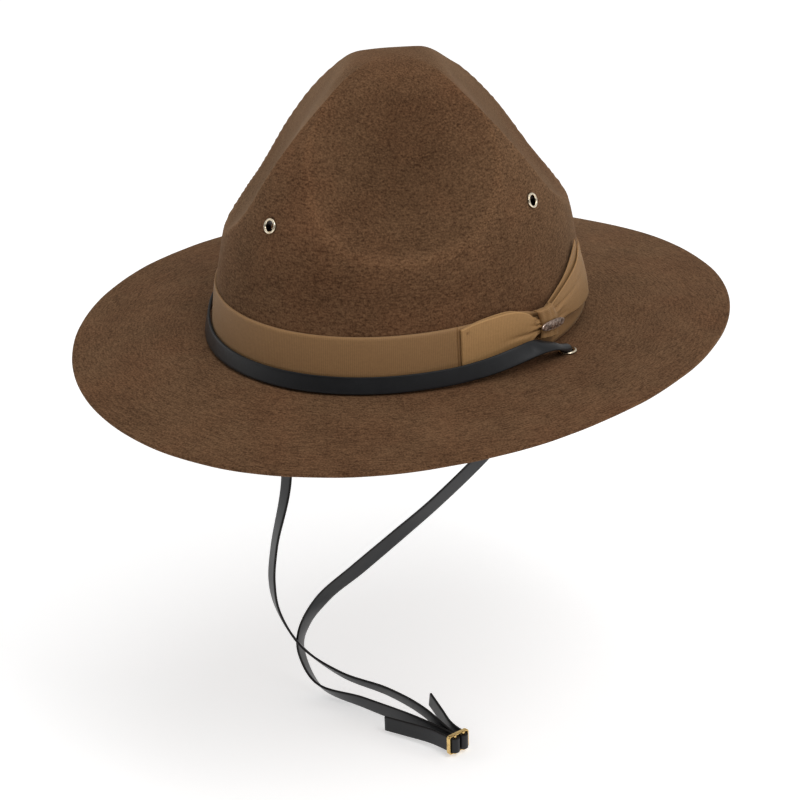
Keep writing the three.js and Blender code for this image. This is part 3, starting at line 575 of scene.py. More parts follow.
def fibre_group(name):
    """Matted fibres: fine speckle, streaks round the hat and soft blotches, as one colour factor
    and one height."""
    tree, given, result = new_group(name, {"Speckle": 1400.0, "Blotch": 45.0, "Contrast": 0.5},
                                    ("Factor", "Height"))
    place = node(tree, "ShaderNodeTexCoord").outputs["Object"]
    x, y, z = node(tree, "ShaderNodeSeparateXYZ", {0: place}).outputs
    angle = maths(tree, "MULTIPLY", maths(tree, "ARCTAN2", y, x), 0.03)
    radius = maths(tree, "SQRT", weighted(tree, x, x, y, y))
    around = node(tree, "ShaderNodeCombineXYZ", {0: angle, 1: radius, 2: z}).outputs[0]
    speckle = noise(tree, place, given["Speckle"], 3.0, 0.6)
    streak = noise(tree, around, given["Speckle"], 2.0, 0.6)
    blotch = noise(tree, place, given["Blotch"], 4.0, 0.6)
    fine = weighted(tree, speckle, 0.6, streak, 0.4)
    mixed = weighted(tree, fine, 0.84, blotch, 0.16)
    spread = maths(tree, "MULTIPLY", maths(tree, "SUBTRACT", mixed, 0.5), given["Contrast"])
    feed(tree, result["Factor"], scaled(tree, spread, 4.0, 0.5, clamp=True))
    feed(tree, result["Height"], fine)
    return tree


def rib_group(name):
    """Ribs across a ribbon: a rounded wave along the U of its map, fine cross threads along V,
    and a selvage line at both edges. Its factor follows the height, which darkens the low
    parts between the ribs as painted shade."""
    tree, given, result = new_group(name, {"Pitch": 0.95 * MM, "Width": 26 * MM, "Uneven": 0.3},
                                    ("Factor", "Height", "Selvage"))
    place = node(tree, "ShaderNodeUVMap").outputs[0]
    u, v, _ = node(tree, "ShaderNodeSeparateXYZ", {0: place}).outputs
    grain = maths(tree, "SUBTRACT", noise(tree, place, 900.0, 3.0, 0.6), 0.5)
    wobble = maths(tree, "MULTIPLY", noise(tree, place, 160.0, 2.0), given["Uneven"])
    turns = maths(tree, "ADD", maths(tree, "DIVIDE", u, given["Pitch"]), wobble)
    threads = maths(tree, "MULTIPLY", ridges(tree, v, 9000.0), 0.18)
    weave = maths(tree, "ADD", ridges(tree, turns, math.pi), threads)
    height = maths(tree, "ADD", weave, maths(tree, "MULTIPLY", grain, 0.7))
    across = maths(tree, "SUBTRACT", maths(tree, "DIVIDE", v, given["Width"]), 0.5)
    selvage = maths(tree, "GREATER_THAN", maths(tree, "ABSOLUTE", across), 0.468)
    # Painted shade: the colour factor is the rib height, low between the ribs.
    feed(tree, result["Factor"], maths(tree, "MULTIPLY", height, 0.8, clamp=True))
    feed(tree, result["Height"], height)
    feed(tree, result["Selvage"], selvage)
    return tree


def wear_group(name):
    """Soft patches and fine marks for handled surfaces: a mask and a height."""
    tree, given, result = new_group(name, {"Patch": 60.0, "Grain": 2200.0, "Amount": 0.5},
                                    ("Mask", "Height"))
    place = node(tree, "ShaderNodeTexCoord").outputs["Object"]
    patch = maths(tree, "SUBTRACT", noise(tree, place, given["Patch"], 5.0, 0.65), 0.42)
    grain = node(tree, "ShaderNodeTexVoronoi",
                 {"Vector": place, "Scale": given["Grain"], "Randomness": 1.0})
    mask = maths(tree, "MULTIPLY", maths(tree, "MULTIPLY", patch, 5.0), given["Amount"],
                 clamp=True)
    feed(tree, result["Mask"], mask)
    feed(tree, result["Height"], grain.outputs["Distance"])
    return tree


SHARED_GROUPS = {"Matted Fibres": fibre_group, "Ribbon Ribs": rib_group,
                 "Handling Wear": wear_group}


def place_group(tree, name, **values):
    """Puts a shared group, built the first time it is asked for, into a material with its own
    values; returns its outputs."""
    group = bpy.data.node_groups.get(name) or SHARED_GROUPS[name](name)
    return node(tree, "ShaderNodeGroup", values, node_tree=group).outputs


def new_material(name, shader_values):
    """A material with one Principled shader; returns it, its tree and the shader. The last two
    are None where the material is there already."""
    found = bpy.data.materials.get(name)
    if found:
        return found, None, None
    material = bpy.data.materials.new(name)
    material.use_nodes = True
    tree = material.node_tree
    shader = tree.nodes["Principled BSDF"]
    for key, value in shader_values.items():
        shader.inputs[key].default_value = value
    return material, tree, shader


def finish(tree, shader, color, height, strength, distance, roughness=None):
    """Feeds the shader its colour, its normal from a height through a Bump node and, where it
    varies, its roughness."""
    feed(tree, shader.inputs["Base Color"], color)
    if roughness:
        feed(tree, shader.inputs["Roughness"], roughness)
    bump = node(tree, "ShaderNodeBump",
                {"Strength": strength, "Distance": distance, "Height": height})
    feed(tree, shader.inputs["Normal"], bump.outputs[0])


def felt_material(felt):
    """Brushed fur felt: matted fibres, soft blotches and a pale sheen at grazing angles, with a
    painted highlight on the ridges and painted shade in the dents and hollows.
    """
    material, tree, shader = new_material("Brushed felt", {
        "Roughness": 0.95, "Sheen Weight": 0.30, "Sheen Roughness": 0.4,
        "Sheen Tint": (0.62, 0.43, 0.26, 1.0), "Specular IOR Level": 0.06})
    if tree:
        fibres = place_group(tree, "Matted Fibres", Speckle=1050.0, Blotch=38.0, Contrast=1.0)
        patches = place_group(tree, "Handling Wear", Patch=17.0, Grain=1500.0, Amount=0.55)
        # Painted light: this attribute lightens the ridges as a painted highlight and darkens the
        # dents and hollows as painted shade.
        tone = attribute(tree, "ridge_highlight_and_hollow_shade")
        ridge = maths(tree, "MULTIPLY", tone, 1.0, clamp=True)
        hollow = maths(tree, "MULTIPLY", tone, -1.0, clamp=True)
        color = blend_colors(tree, fibres["Factor"], rgba(felt.dark), rgba(felt.light))
        color = toned(tree, patches["Mask"], color, (1.0, 0.86, 0.82))
        # Painted highlight on the ridges, then painted shade in the hollows.
        color = toned(tree, ridge, color, (1.12, 1.11, 1.10))
        color = toned(tree, hollow, color, (0.70, 0.68, 0.66))
        finish(tree, shader, color, fibres["Height"], 0.55, 0.35 * MM)
    return material


def ribbon_material(ribbon):
    """Ribbed ribbon: raised ribs over a groove darkened as painted shade, with a firmer edge,
    and painted light on the bow layers that stand out.
    """
    material, tree, shader = new_material("Ribbed ribbon", {
        "Roughness": 0.62, "Sheen Weight": 0.12, "Sheen Roughness": 0.4,
        "Sheen Tint": (0.8, 0.66, 0.45, 1.0), "Specular IOR Level": 0.3})
    if tree:
        ribs = place_group(tree, "Ribbon Ribs", Pitch=ribbon.rib, Width=ribbon.height, Uneven=0.35)
        fibres = place_group(tree, "Matted Fibres", Speckle=900.0, Blotch=70.0, Contrast=0.35)
        # Painted shade between the ribs: the groove colour where the ribs are low.
        color = blend_colors(tree, ribs["Factor"], rgba(ribbon.groove), rgba(ribbon.color))
        shade = blend_colors(tree, fibres["Factor"], (0.8, 0.78, 0.76, 1.0), (1.12, 1.1, 1.06, 1.0))
        color = blend_colors(tree, 1.0, color, shade, "MULTIPLY")
        edge = maths(tree, "MULTIPLY", ribs["Selvage"], 0.35)
        color = blend_colors(tree, edge, color, rgba(ribbon.color, 1.25))
        # Painted light: the bow layers that stand out from the band are made paler by this share.
        color = toned(tree, attribute(tree, "painted_light_share"), color, (1.55, 1.60, 1.55))
        finish(tree, shader, color, ribs["Height"], 0.4, 0.10 * MM)
    return material


def leather_material(strap):
    """Finished black leather with a satin top coat, and dull cut edges by attribute."""
    material, tree, shader = new_material("Strap leather", {
        "Specular IOR Level": 0.32, "Coat Weight": 0.10, "Coat Roughness": 0.3})
    if tree:
        wear = place_group(tree, "Handling Wear", Patch=70.0, Grain=2600.0, Amount=0.35)
        cut = attribute(tree, "cut_edge")
        worn = blend_colors(tree, wear["Mask"], rgba(strap.color), rgba(strap.color, 2.2))
        color = blend_colors(tree, cut, worn, rgba(strap.edge))
        rough = maths(tree, "ADD", scaled(tree, wear["Mask"], 0.12, 0.36),
                      maths(tree, "MULTIPLY", cut, 0.4), clamp=True)
        finish(tree, shader, color, wear["Height"], 0.16, 0.08 * MM, rough)
    return material


def brass_material(metal, pale=False):
    """Brass with dulled patches, bright on the buckle and pale on the eyelets, whose barrels are
    painted dark inside as painted shade."""
    bright = metal.pale if pale else metal.brass
    material, tree, shader = new_material("Pale brass" if pale else "Bright brass",
                                          {"Metallic": 1.0})
    if tree:
        wear = place_group(tree, "Handling Wear", Patch=420.0, Grain=5000.0, Amount=0.45)
        color = blend_colors(tree, wear["Mask"], rgba(bright), rgba(metal.tarnish))
        # Painted shade: the inside of an eyelet's barrel is near black.
        color = blend_colors(tree, attribute(tree, "barrel"), color, (0.012, 0.008, 0.006, 1.0))
        rough = scaled(tree, wear["Mask"], 0.25, 0.2)
        finish(tree, shader, color, wear["Height"], 0.06, 0.05 * MM, rough)
    return material


def pewter_material(metal):
    """Dulled bronze-grey metal for the pin, paler where it is rubbed."""
    material, tree, shader = new_material("Pin metal", {"Metallic": 1.0})
    if tree:
        wear = place_group(tree, "Handling Wear", Patch=600.0, Grain=4000.0, Amount=0.8)
        color = blend_colors(tree, wear["Mask"], rgba(metal.pewter, 2.6), rgba(metal.pewter, 0.5))
        rough = scaled(tree, wear["Mask"], 0.2, 0.3)
        finish(tree, shader, color, wear["Height"], 0.15, 0.08 * MM, rough)
    return material


# Felt


def felt_outside(felt):
    """The felt's outside on a grid of angles by a line from below the peak, down the crown, round
    the break on a quadratic curve and out to the brim's edge. Returns points by column and row
    and the number of crown rows."""
    angle = ring_angles(felt.columns)[:, None]
    step = running_length(SECTION)
    place = np.linspace(step[-1], 0, CROWN_ROWS + 1)[1:]
    radius, height = (np.interp(place, step, SECTION[:, k])[None, :] for k in (0, 1))
    foot = felt.break_radius / felt.crown_height
    keep = height[0] > 2 * foot
    crown = crown_point(felt, angle, radius[:, keep], height[:, keep])
    wall = crown_point(felt, angle, np.interp(foot, SECTION[:, 1], SECTION[:, 0]), foot)
    start = felt.break_radius / felt.brim_width
    corner, out = brim_point(felt, angle, 0.0), brim_point(felt, angle, start)
    t = np.linspace(0, 1, BREAK_ROWS)[None, :, None]
    turn = wall * (1 - t) ** 2 + 2 * corner * t * (1 - t) + out * t**2
    brim = brim_point(felt, angle, np.linspace(start, 1, BRIM_ROWS + 1)[None, 1:])
    return np.concatenate([crown, turn, brim], 1), crown.shape[1]


def grid_normals(points):
    """Outward normals of a grid closed round its columns, from central differences."""
    around = np.roll(points, -1, 0) - np.roll(points, 1, 0)
    down = np.gradient(points, axis=1)
    return unit(np.cross(down, around))


def soft_waves(points, scale, height):
    """Slow unevenness: a sum of sines of the place, along six fixed directions."""
    ways = np.array([[1, 0.3, 0.5], [-0.4, 1, 0.2], [0.2, -0.6, 1], [0.9, 0.8, -0.3],
                     [-0.7, 0.5, 0.9], [0.3, 1.1, 0.8]])
    rates, shares = np.array([[1, 1.3, 0.8, 1.9, 2.4, 2.9], [1, 0.9, 0.8, 0.5, 0.4, 0.3]])
    phase = points @ ways.T * scale * rates + np.arange(6) * 1.7
    return (np.sin(phase) * shares).sum(-1) * height / 2


def felt_hollow(points, crown_rows):
    """Share of the deepest dent at each point of the crown, and none on the brim. It sets the
    painted shade in the dents.
    """
    angle = np.arange(points.shape[0])[:, None] * 2 * np.pi / points.shape[0]
    height = points[..., 2] / points[..., 2].max()
    hollow = dent_depth(angle, np.clip(height, 0, 1)) / 0.2
    hollow[:, crown_rows:] = 0
    return hollow


def ridge_highlight_and_hollow_shade(points, normals, step):
    """How far the felt is convex, from -1 in a hollow to 1 on a ridge: the middle of the two
    neighbours a few steps away, round and down, measured along the normal and by the distance.
    It is the share of painted highlight on the ridges and painted shade in the hollows."""
    tone = np.zeros(points.shape[:2])
    for axis in (0, 1):
        ahead, behind = np.roll(points, -step, axis), np.roll(points, step, axis)
        if axis:
            ahead[:, -step:], behind[:, :step] = points[:, -1:], points[:, :1]
        bow = ((points - (ahead + behind) / 2) * normals).sum(-1)
        span = np.linalg.norm(ahead - behind, axis=-1).clip(2 * MM)
        tone += bow / span
    return np.clip(tone / 0.10, -1, 1)


def drill_holes(body, drills):
    """Cuts a round hole through a piece at each seat, wide enough for the eyelet's barrel."""
    points, faces = [], []
    for number, (seat, bore) in enumerate(drills):
        radius = bore / 2 + BARREL_ROOM
        points.append(lathe([(radius, -DRILL_REACH), (radius, DRILL_REACH)], DRILL_SIDES, seat)[0])
        low = [2 * (number * DRILL_SIDES + k) for k in range(DRILL_SIDES)]
        high = [k + 1 for k in low]
        faces += [low[::-1], high]
        faces += zip(low, low[1:] + low[:1], high[1:] + high[:1], high)
    mesh = bpy.data.meshes.new("drills")
    mesh.from_pydata(np.vstack([p.reshape(-1, 3) for p in points]).tolist(), [], faces)
    drill = bpy.data.objects.new("drills", mesh)
    bpy.context.scene.collection.objects.link(drill)
    modifier = body.modifiers.new("Holes", "BOOLEAN")
    modifier.operation, modifier.solver, modifier.object = "DIFFERENCE", "EXACT", drill
    apply_modifiers(body)
    bpy.data.objects.remove(drill)
    bpy.data.meshes.remove(mesh)


def build_felt(felt, metal):
    """One closed felt wall: outside, rounded brim edge, underside and inside of the crown, then
    round holes for the eyelets."""
    outside, crown_rows = felt_outside(felt)
    normal = grid_normals(outside)
    # Painted light: convex ridges get a painted highlight, and the dents get painted shade by their
    # depth.
    tone = ridge_highlight_and_hollow_shade(outside, normal, 2) - 0.8 * np.clip(felt_hollow(outside, crown_rows), 0, 1)
    outside = outside + normal * soft_waves(outside, 95.0, 0.16 * MM)[..., None]
    past_break = np.arange(outside.shape[1]) > crown_rows + BREAK_ROWS // 2
    depth = np.where(past_break, felt.brim_thickness, felt.wall)
    inside = outside - normal * depth[None, :, None]
    rim_out, rim_in = outside[:, -1:], inside[:, -1:]
    away = unit(outside[:, -1:] - outside[:, -2:-1])
    turn = np.linspace(0, np.pi, RIM_ROWS)[None, 1:-1, None]
    middle = (rim_out + rim_in) / 2
    rim = (middle + (rim_out - middle) * np.cos(turn)
           + away * (felt.brim_thickness * 0.3) * np.sin(turn))
    points = np.concatenate([outside, rim, inside[:, ::-1]], 1)
    columns, rows = points.shape[:2]
    top, under = columns * rows, columns * rows + 1
    faces = list(grid_faces(columns, rows, True)[0][:, ::-1])
    starts = np.arange(columns) * rows
    faces += [(top, a, b) for a, b in zip(starts, np.roll(starts, -1))]
    faces += [(under, b + rows - 1, a + rows - 1) for a, b in zip(starts, np.roll(starts, -1))]
    peak = crown_point(felt, 0.0, 0.0, 1.0)
    vertices = np.vstack([points.reshape(-1, 3), peak, peak - [0, 0, felt.wall]])
    # The attribute carries the painted ridge highlight and hollow shade.
    tones = np.concatenate([tone, np.zeros((columns, rows - tone.shape[1]))], 1)
    tones = np.concatenate([tones.ravel(), [0, 0]])
    body = add_piece("felt_shell", vertices, faces, felt_material(felt), ("felt_body",),
                     values={"ridge_highlight_and_hollow_shade": tones})
    drills = [(vent_seat(felt, metal, a), metal.vent_bore) for a in VENTS.values()]
    drills += [(brim_seat(felt, metal, a), metal.brim_bore) for a in BRIM_EYELETS.values()]
    drill_holes(body, drills)


# Ribbon


def band_foot(felt):
    """Height of the band's lower edge, just over the break."""
    return felt.break_radius + GAP


def build_band(felt, ribbon):
    """The band: the crown's wall moved out, on a ring of columns that stand closer at the seam.
    It is pressed lower under the bow by a bell, ripples as a sine, and a bell of the fourth power
    cuts the groove at its seam."""
    seam = math.radians(BAND_SEAM) + 2 * np.pi
    angle = np.concatenate([ring_angles(BAND_COLUMNS), seam + np.linspace(-0.02, 0.02, 41)])
    angle = np.unique(np.round(angle, 5))
    across = np.linspace(0, 1, BAND_ROWS)
    turned = (angle - np.pi) % (2 * np.pi) - np.pi
    tall = ribbon.height - BAND_PINCH * bell(turned, PINCH_ANGLE, PINCH_SPREAD)
    a, share = np.meshgrid(angle, across, indexing="ij")
    h = band_foot(felt) + tall[:, None] * share
    groove = SEAM_DEPTH * bell((a - seam) * felt.crown_length / 2, 0, SEAM_HALF, 4)
    middle = GAP + ribbon.band / 2
    ripple = 0.12 * MM * np.sin(3 * a + 1) * np.sin(np.pi * share) + middle - 0.2 * MM * share
    points = wall_point(felt, a, h, ripple - groove)[0]
    faces, i, j = grid_faces(len(angle), BAND_ROWS, True)
    line = points[:, 4]
    uv = np.stack([running_length(np.vstack([line, line[:1]]))[i], (across * ribbon.height)[j]], -1)
    piece = add_piece("ribbon_band", points, faces, ribbon_material(ribbon),
                      ("hat_band",), uv.reshape(-1, 2))
    solidify(piece, ribbon.band - 0.1 * MM)


def bow_surface(felt, ribbon, rows, along, across, lift=0.0, swell=0.3):
    """A bow layer: rows are splined along the ribbon and read straight across it, and its
    stand-off swells as a half sine between its two edges."""
    table = smooth_path(rows, 401)
    t = np.clip(along, 0, 1) * 400
    low_a, high_a, low, high, low_out, high_out = (
        np.interp(t, np.arange(401), table[:, k]) for k in range(6))
    angle = np.radians(low_a + (high_a - low_a) * across)
    z = band_foot(felt) + (low + (high - low) * across) * ribbon.height
    out = (low_out + (high_out - low_out) * across) * (1 + swell * np.sin(np.pi * across))
    base = GAP + ribbon.band + 0.6 * MM
    return wall_point(felt, angle, z, base + out * ribbon.height + lift)


def sheet_piece(name, points, ribbon, stands_for=(), pitch_along=True, painted_light=0.0):
    """A ribbon layer from a grid of points, with its map measured along and across it, or turned
    where its ribs run the other way. It is painted paler by a half sine along its length:
    painted light where the bow stands out from the band."""
    columns, rows = points.shape[:2]
    faces, i, j = grid_faces(columns, rows)
    if pitch_along:
        along = running_length(points[:, rows // 2])
        uv = np.stack([along[i], np.linspace(0, ribbon.height, rows)[j]], -1)
    else:
        along = running_length(points[columns // 2])
        uv = np.stack([along[j], np.linspace(0, ribbon.height, columns)[i]], -1)
    # Painted light: the share along the layer by which the ribbon is made paler.
    painted_light_share = painted_light * (0.75 + 0.25 * np.sin(np.linspace(0, np.pi, columns)))[:, None] * np.ones(rows)
    piece = add_piece(name, points, faces, ribbon_material(ribbon), stands_for,
                      uv.reshape(-1, 2), {"painted_light_share": painted_light_share})
    solidify(piece, ribbon.layer)


def build_front_wing(felt, ribbon):
    """The front wing: one loop of ribbon, from the pinch along the band, round a fold at the
    seam and back over itself. Sums of sines gather it into the pinch, a bell cuts one deep crease
    below its middle, and another lifts a lip at the fold."""
    across = np.linspace(0, 1, 33)[None, :]
    back = np.linspace(1, 0.03, 40)
    fold = np.linspace(-np.pi / 2, np.pi / 2, 13)[1:-1]
    face = np.linspace(0.03, 1, 90)
    along = np.concatenate([back, 0.03 - 0.028 * np.cos(fold), face])[:, None]
    layer = np.concatenate([0 * back, (1 + np.sin(fold)) / 2, face / face])[:, None]
    near = smoothstep(along, 0.62, 1.0)
    gather = near * (0.55 * np.sin(across * 17 + 1.2) + 0.35 * np.sin(across * 31)) * MM
    crease_at = 0.42 - 0.20 * smoothstep(along, 0.35, 1.0)
    crease = -1.3 * MM * smoothstep(along, 0.30, 0.75) * bell(across, crease_at, 0.055)
    roll = 0.5 * MM * np.sin(along * 9) * np.sin(np.pi * across)
    lip = 0.45 * MM * bell(along, 0, 0.05)
    lift = layer * (gather + crease + roll * near + lip)
    outer = bow_surface(felt, ribbon, FRONT_WING, along, across, lift)[0]
    against_band = [(*row[:4], -0.008, -0.008) for row in FRONT_WING]
    inner = bow_surface(felt, ribbon, against_band, along, across)[0]
    points = inner * (1 - layer[..., None]) + outer * layer[..., None]
    # Painted light on the front wing, the strongest on the bow.
    sheet_piece("bow_front_loop", points, ribbon, ("bow_front_wing",), painted_light=0.9)


def build_rear_wing(felt, ribbon):
    """The rear wing: a back layer against the crown and a fuller face over it, both cut on the
    slant, with a dark slit between their upper edges. Gathers and flare are sines, the crease a
    bell."""
    along = np.linspace(0, 1, 70)[:, None]
    across = np.linspace(0, 1, 33)[None, :]
    near = smoothstep(1 - along, 0.68, 1.0)
    gather = near * (0.5 * np.sin(across * 15 + 0.5) + 0.3 * np.sin(across * 27)) * MM
    flare = 0.5 * MM * np.sin(along * 7 + across * 3) * along * (1 - along)
    crease = -0.7 * MM * (1 - along) * bell(across, 0.62, 0.06)
    face = bow_surface(felt, ribbon, REAR_WING_FACE, along, across, gather + flare + crease)[0]
    back = bow_surface(felt, ribbon, REAR_WING_BACK, along, across, flare * 0.5, 0.0)[0]
    # Painted light on both rear layers, weaker than on the front wing.
    sheet_piece("bow_rear_face", face, ribbon, ("bow_rear_wing",), painted_light=0.35)
    sheet_piece("bow_rear_back", back, ribbon, painted_light=0.2)


def build_knot(felt, ribbon):
    """The knot: a strip laid over the pinch, its side edges turned under and its ends wrapped
    inwards above and below, both as squares of the way past the edge's start."""
    along, across = np.meshgrid(np.linspace(0, 1, 60), np.linspace(0, 1, 25), indexing="ij")
    wrap = np.maximum(0, 1 - np.minimum(along, 1 - along) / 0.09)
    turn_in = np.maximum(0, 1 - np.minimum(across, 1 - across) / 0.10)
    gather = 0.22 * MM * np.sin(across * 19 + np.sin(along * 4)) * (1 - turn_in)
    lift = gather - 2.6 * MM * wrap**2 - 0.9 * MM * turn_in**2
    points = bow_surface(felt, ribbon, BOW_KNOT, along, across, lift)[0]
    # The last number is the knot's share of painted light.
    sheet_piece("bow_knot_strip", points.transpose(1, 0, 2), ribbon, ("bow_knot",), False, 0.3)


def thread_tube(points, radius):
    """A thin round thread through a short list of points, closed at both ends."""
    p = smooth_path(points, THREAD_STEPS)
    tangent = unit(np.gradient(p, axis=0))
    side = unit(np.cross(tangent, [0.3, 0.2, 0.93]))
    other = np.cross(tangent, side)
    turn = ring_angles(THREAD_SIDES)[None, :, None]
    ring = p[:, None] + radius * (np.cos(turn) * side[:, None] + np.sin(turn) * other[:, None])
    grid = np.arange(len(p) * THREAD_SIDES).reshape(len(p), THREAD_SIDES)
    faces = grid_faces(*grid.shape, False, True)[0][:, ::-1].tolist()
    return ring.reshape(-1, 3), faces + [grid[0][::-1].tolist(), grid[-1].tolist()]


def build_threads(felt, ribbon):
    """Loose threads at the pinch, a small cross stitch by the seam and frayed fibres on the
    slanted cut of the rear wing."""
    rng = np.random.default_rng(7)
    strands = []

    def at(rows, along, across, lift):
        """A point of a bow layer."""
        return bow_surface(felt, ribbon, rows, np.array(along), np.array(across), lift)[0]

    drift = np.array([0.6 * MM, -0.3 * MM, 0.4 * MM])
    for start, across in ((0.80, 0.86), (0.86, 0.9), (0.84, 0.75), (0.9, 0.55)):
        base = at(FRONT_WING, start, across, 0.5 * MM)
        steps = np.cumsum(rng.normal(0, 1, (4, 3)) * [1.0, 1.0, 0.8], axis=0) * MM
        strands.append((np.vstack([base, base + steps + drift]), 0.11 * MM))
    for a, b in (((0.055, 0.86), (0.085, 0.91)), ((0.055, 0.92), (0.085, 0.85))):
        middle = (a[0] + b[0]) / 2, (a[1] + b[1]) / 2
        stitch = [at(FRONT_WING, *place, lift * MM)
                  for place, lift in ((a, 0.35), (middle, 0.75), (b, 0.35))]
        strands.append((np.array(stitch), 0.10 * MM))
    for rows, count, first in ((REAR_WING_FACE, 46, 0.0), (REAR_WING_BACK, 16, 0.62)):
        for across in np.linspace(first, 1.0, count):
            base = at(rows, 1.0, across, 0.0)
            inner = at(rows, 0.97, across, 0.0)
            way = unit(base - inner) * rng.uniform(0.5, 1.5) * MM
            bend = rng.normal(0, 0.25, 3) * MM
            fibre = [inner, base, base + way * 0.6 + bend, base + way + bend * 2]
            strands.append((np.array(fibre), rng.uniform(0.05, 0.09) * MM))
    points, faces = [], []
    for line, radius in strands:
        vertices, tube = thread_tube(line, radius)
        faces += [[k + len(points) * len(vertices) for k in face] for face in tube]
        points.append(vertices)
    piece = add_piece("ribbon_threads", np.vstack(points), faces, ribbon_material(ribbon))
    piece.data.uv_layers.new(name="UVMap")


# Metal


def eyelet_profile(bore, flange, wall, sheet, rise, fall):
    """Closed section of an eyelet: a barrel through the felt, a domed flange on its outside and a
    rolled edge inside."""
    inner, rim = bore / 2, flange / 2
    seat, bottom = rise + GAP, fall - wall - 2 * GAP
    turn = np.linspace(0, np.pi, 13)
    middle, half = (inner + rim) / 2, (rim - inner) / 2
    dome = [(middle + half * math.cos(t), seat + sheet * 1.7 * math.sin(t) ** 0.8) for t in turn]
    curl = sheet * 0.9
    roll = [(inner + curl - curl * math.cos(t), bottom - curl * math.sin(t))
            for t in np.linspace(0, np.pi, 7)]
    return [(inner + sheet, seat), (rim - 0.02 * MM, seat), *dome[1:-1],
            (inner, seat + 0.05 * MM), *roll, (inner + sheet, bottom + 0.05 * MM)]


def build_eyelet(name, seat, bore, flange, wall, metal, stands_for):
    """A turned brass eyelet on its seat, with an attribute that marks the inside of its barrel,
    where the brass paints shade.
    """
    rise, fall = seat[2:]
    profile = eyelet_profile(bore, flange, wall, metal.sheet, rise, fall)
    points, faces = lathe(profile, TURN_STEPS, seat)
    radius, height = np.array(profile).T
    # The barrel's inside, which takes painted shade.
    inside = (radius < bore / 2 + 1.2 * metal.sheet) & (height < rise + 0.4 * MM)
    add_piece(name, points, faces, brass_material(metal, True), (stands_for,),
              values={"barrel": np.tile(inside.astype(float), TURN_STEPS)})


def pin_axes(felt, ribbon):
    """Place and axes of the pin on the knot."""

    def at(along, across):
        """A point of the knot."""
        return bow_surface(felt, ribbon, BOW_KNOT, np.array(along), np.array(across))[0]

    middle = at(0.45, 0.4)
    across = unit(at(0.45, 0.5) - at(0.45, 0.3))
    normal = unit(np.cross(across, at(0.55, 0.4) - at(0.35, 0.4)))
    return middle + normal * 1.35 * MM, across, np.cross(normal, across), normal


def build_pin(felt, ribbon, metal):
    """The pin: a plain oval bar whose outline is a power of cosine by a power of sine. Its
    section is a dome with shallow rounded flutes along it and a raised rim."""
    middle, side, up, normal = pin_axes(felt, ribbon)
    length, height, thick = PIN_SIZE
    t, r = np.meshgrid(ring_angles(96), np.linspace(0, 1, 22), indexing="ij")
    x = length * r * np.sign(np.cos(t)) * np.abs(np.cos(t)) ** 0.75
    y = height * r * np.sign(np.sin(t)) * np.abs(np.sin(t)) ** 0.9
    flutes = 0.22 * np.cos(x / length * np.pi * 7) * smoothstep(0.84 - r, 0.0, 0.12)
    rim = 0.20 * bell(r, 0.93, 0.045)
    z = thick * ((1 - r**3) * 0.55 + flutes + rim + 0.25 * (1 - smoothstep(r, 0.96, 1.0)))
    top = middle + x[..., None] * side + y[..., None] * up + z[..., None] * normal
    low = middle + x[:, ::-1, None] * side + y[:, ::-1, None] * up - thick * 0.55 * normal
    points = np.concatenate([top[:, 1:], low[:, :-1]], 1)
    columns, rows = points.shape[:2]
    faces = grid_faces(columns, rows, True)[0][:, ::-1].tolist()
    last = columns * rows
    for start in range(0, last, rows):
        following = (start + rows) % last
        faces.append([last, start, following])
        faces.append([last + 1, following + rows - 1, start + rows - 1])
    centres = [middle + normal * (thick * 0.77), middle - normal * (thick * 0.55)]
    add_piece("bow_pin_bar", np.vstack([points.reshape(-1, 3), *centres]), faces,
              pewter_material(metal), ("pin_plate",))


# Chin strap and buckle


def buckle_axes(strap):
    """The buckle's middle and its axes: along the strap, across the layers and up."""
    middle = np.array(BUCKLE_PLACE) * strap.drop
    along = np.array([math.cos(BUCKLE_TURN), math.sin(BUCKLE_TURN), 0])
    side = np.array([-math.sin(BUCKLE_TURN), math.cos(BUCKLE_TURN), 0])
    return middle, along, side, np.array([0, 0, 1.0])


def bar_fit(strap):
    """Radius of the strap's turn round a bar, and the bar's distance from the middle."""
    fold = BAR_RADIUS + GAP + strap.thickness / 2
    return fold, fold + (strap.thickness + GAP) / 2


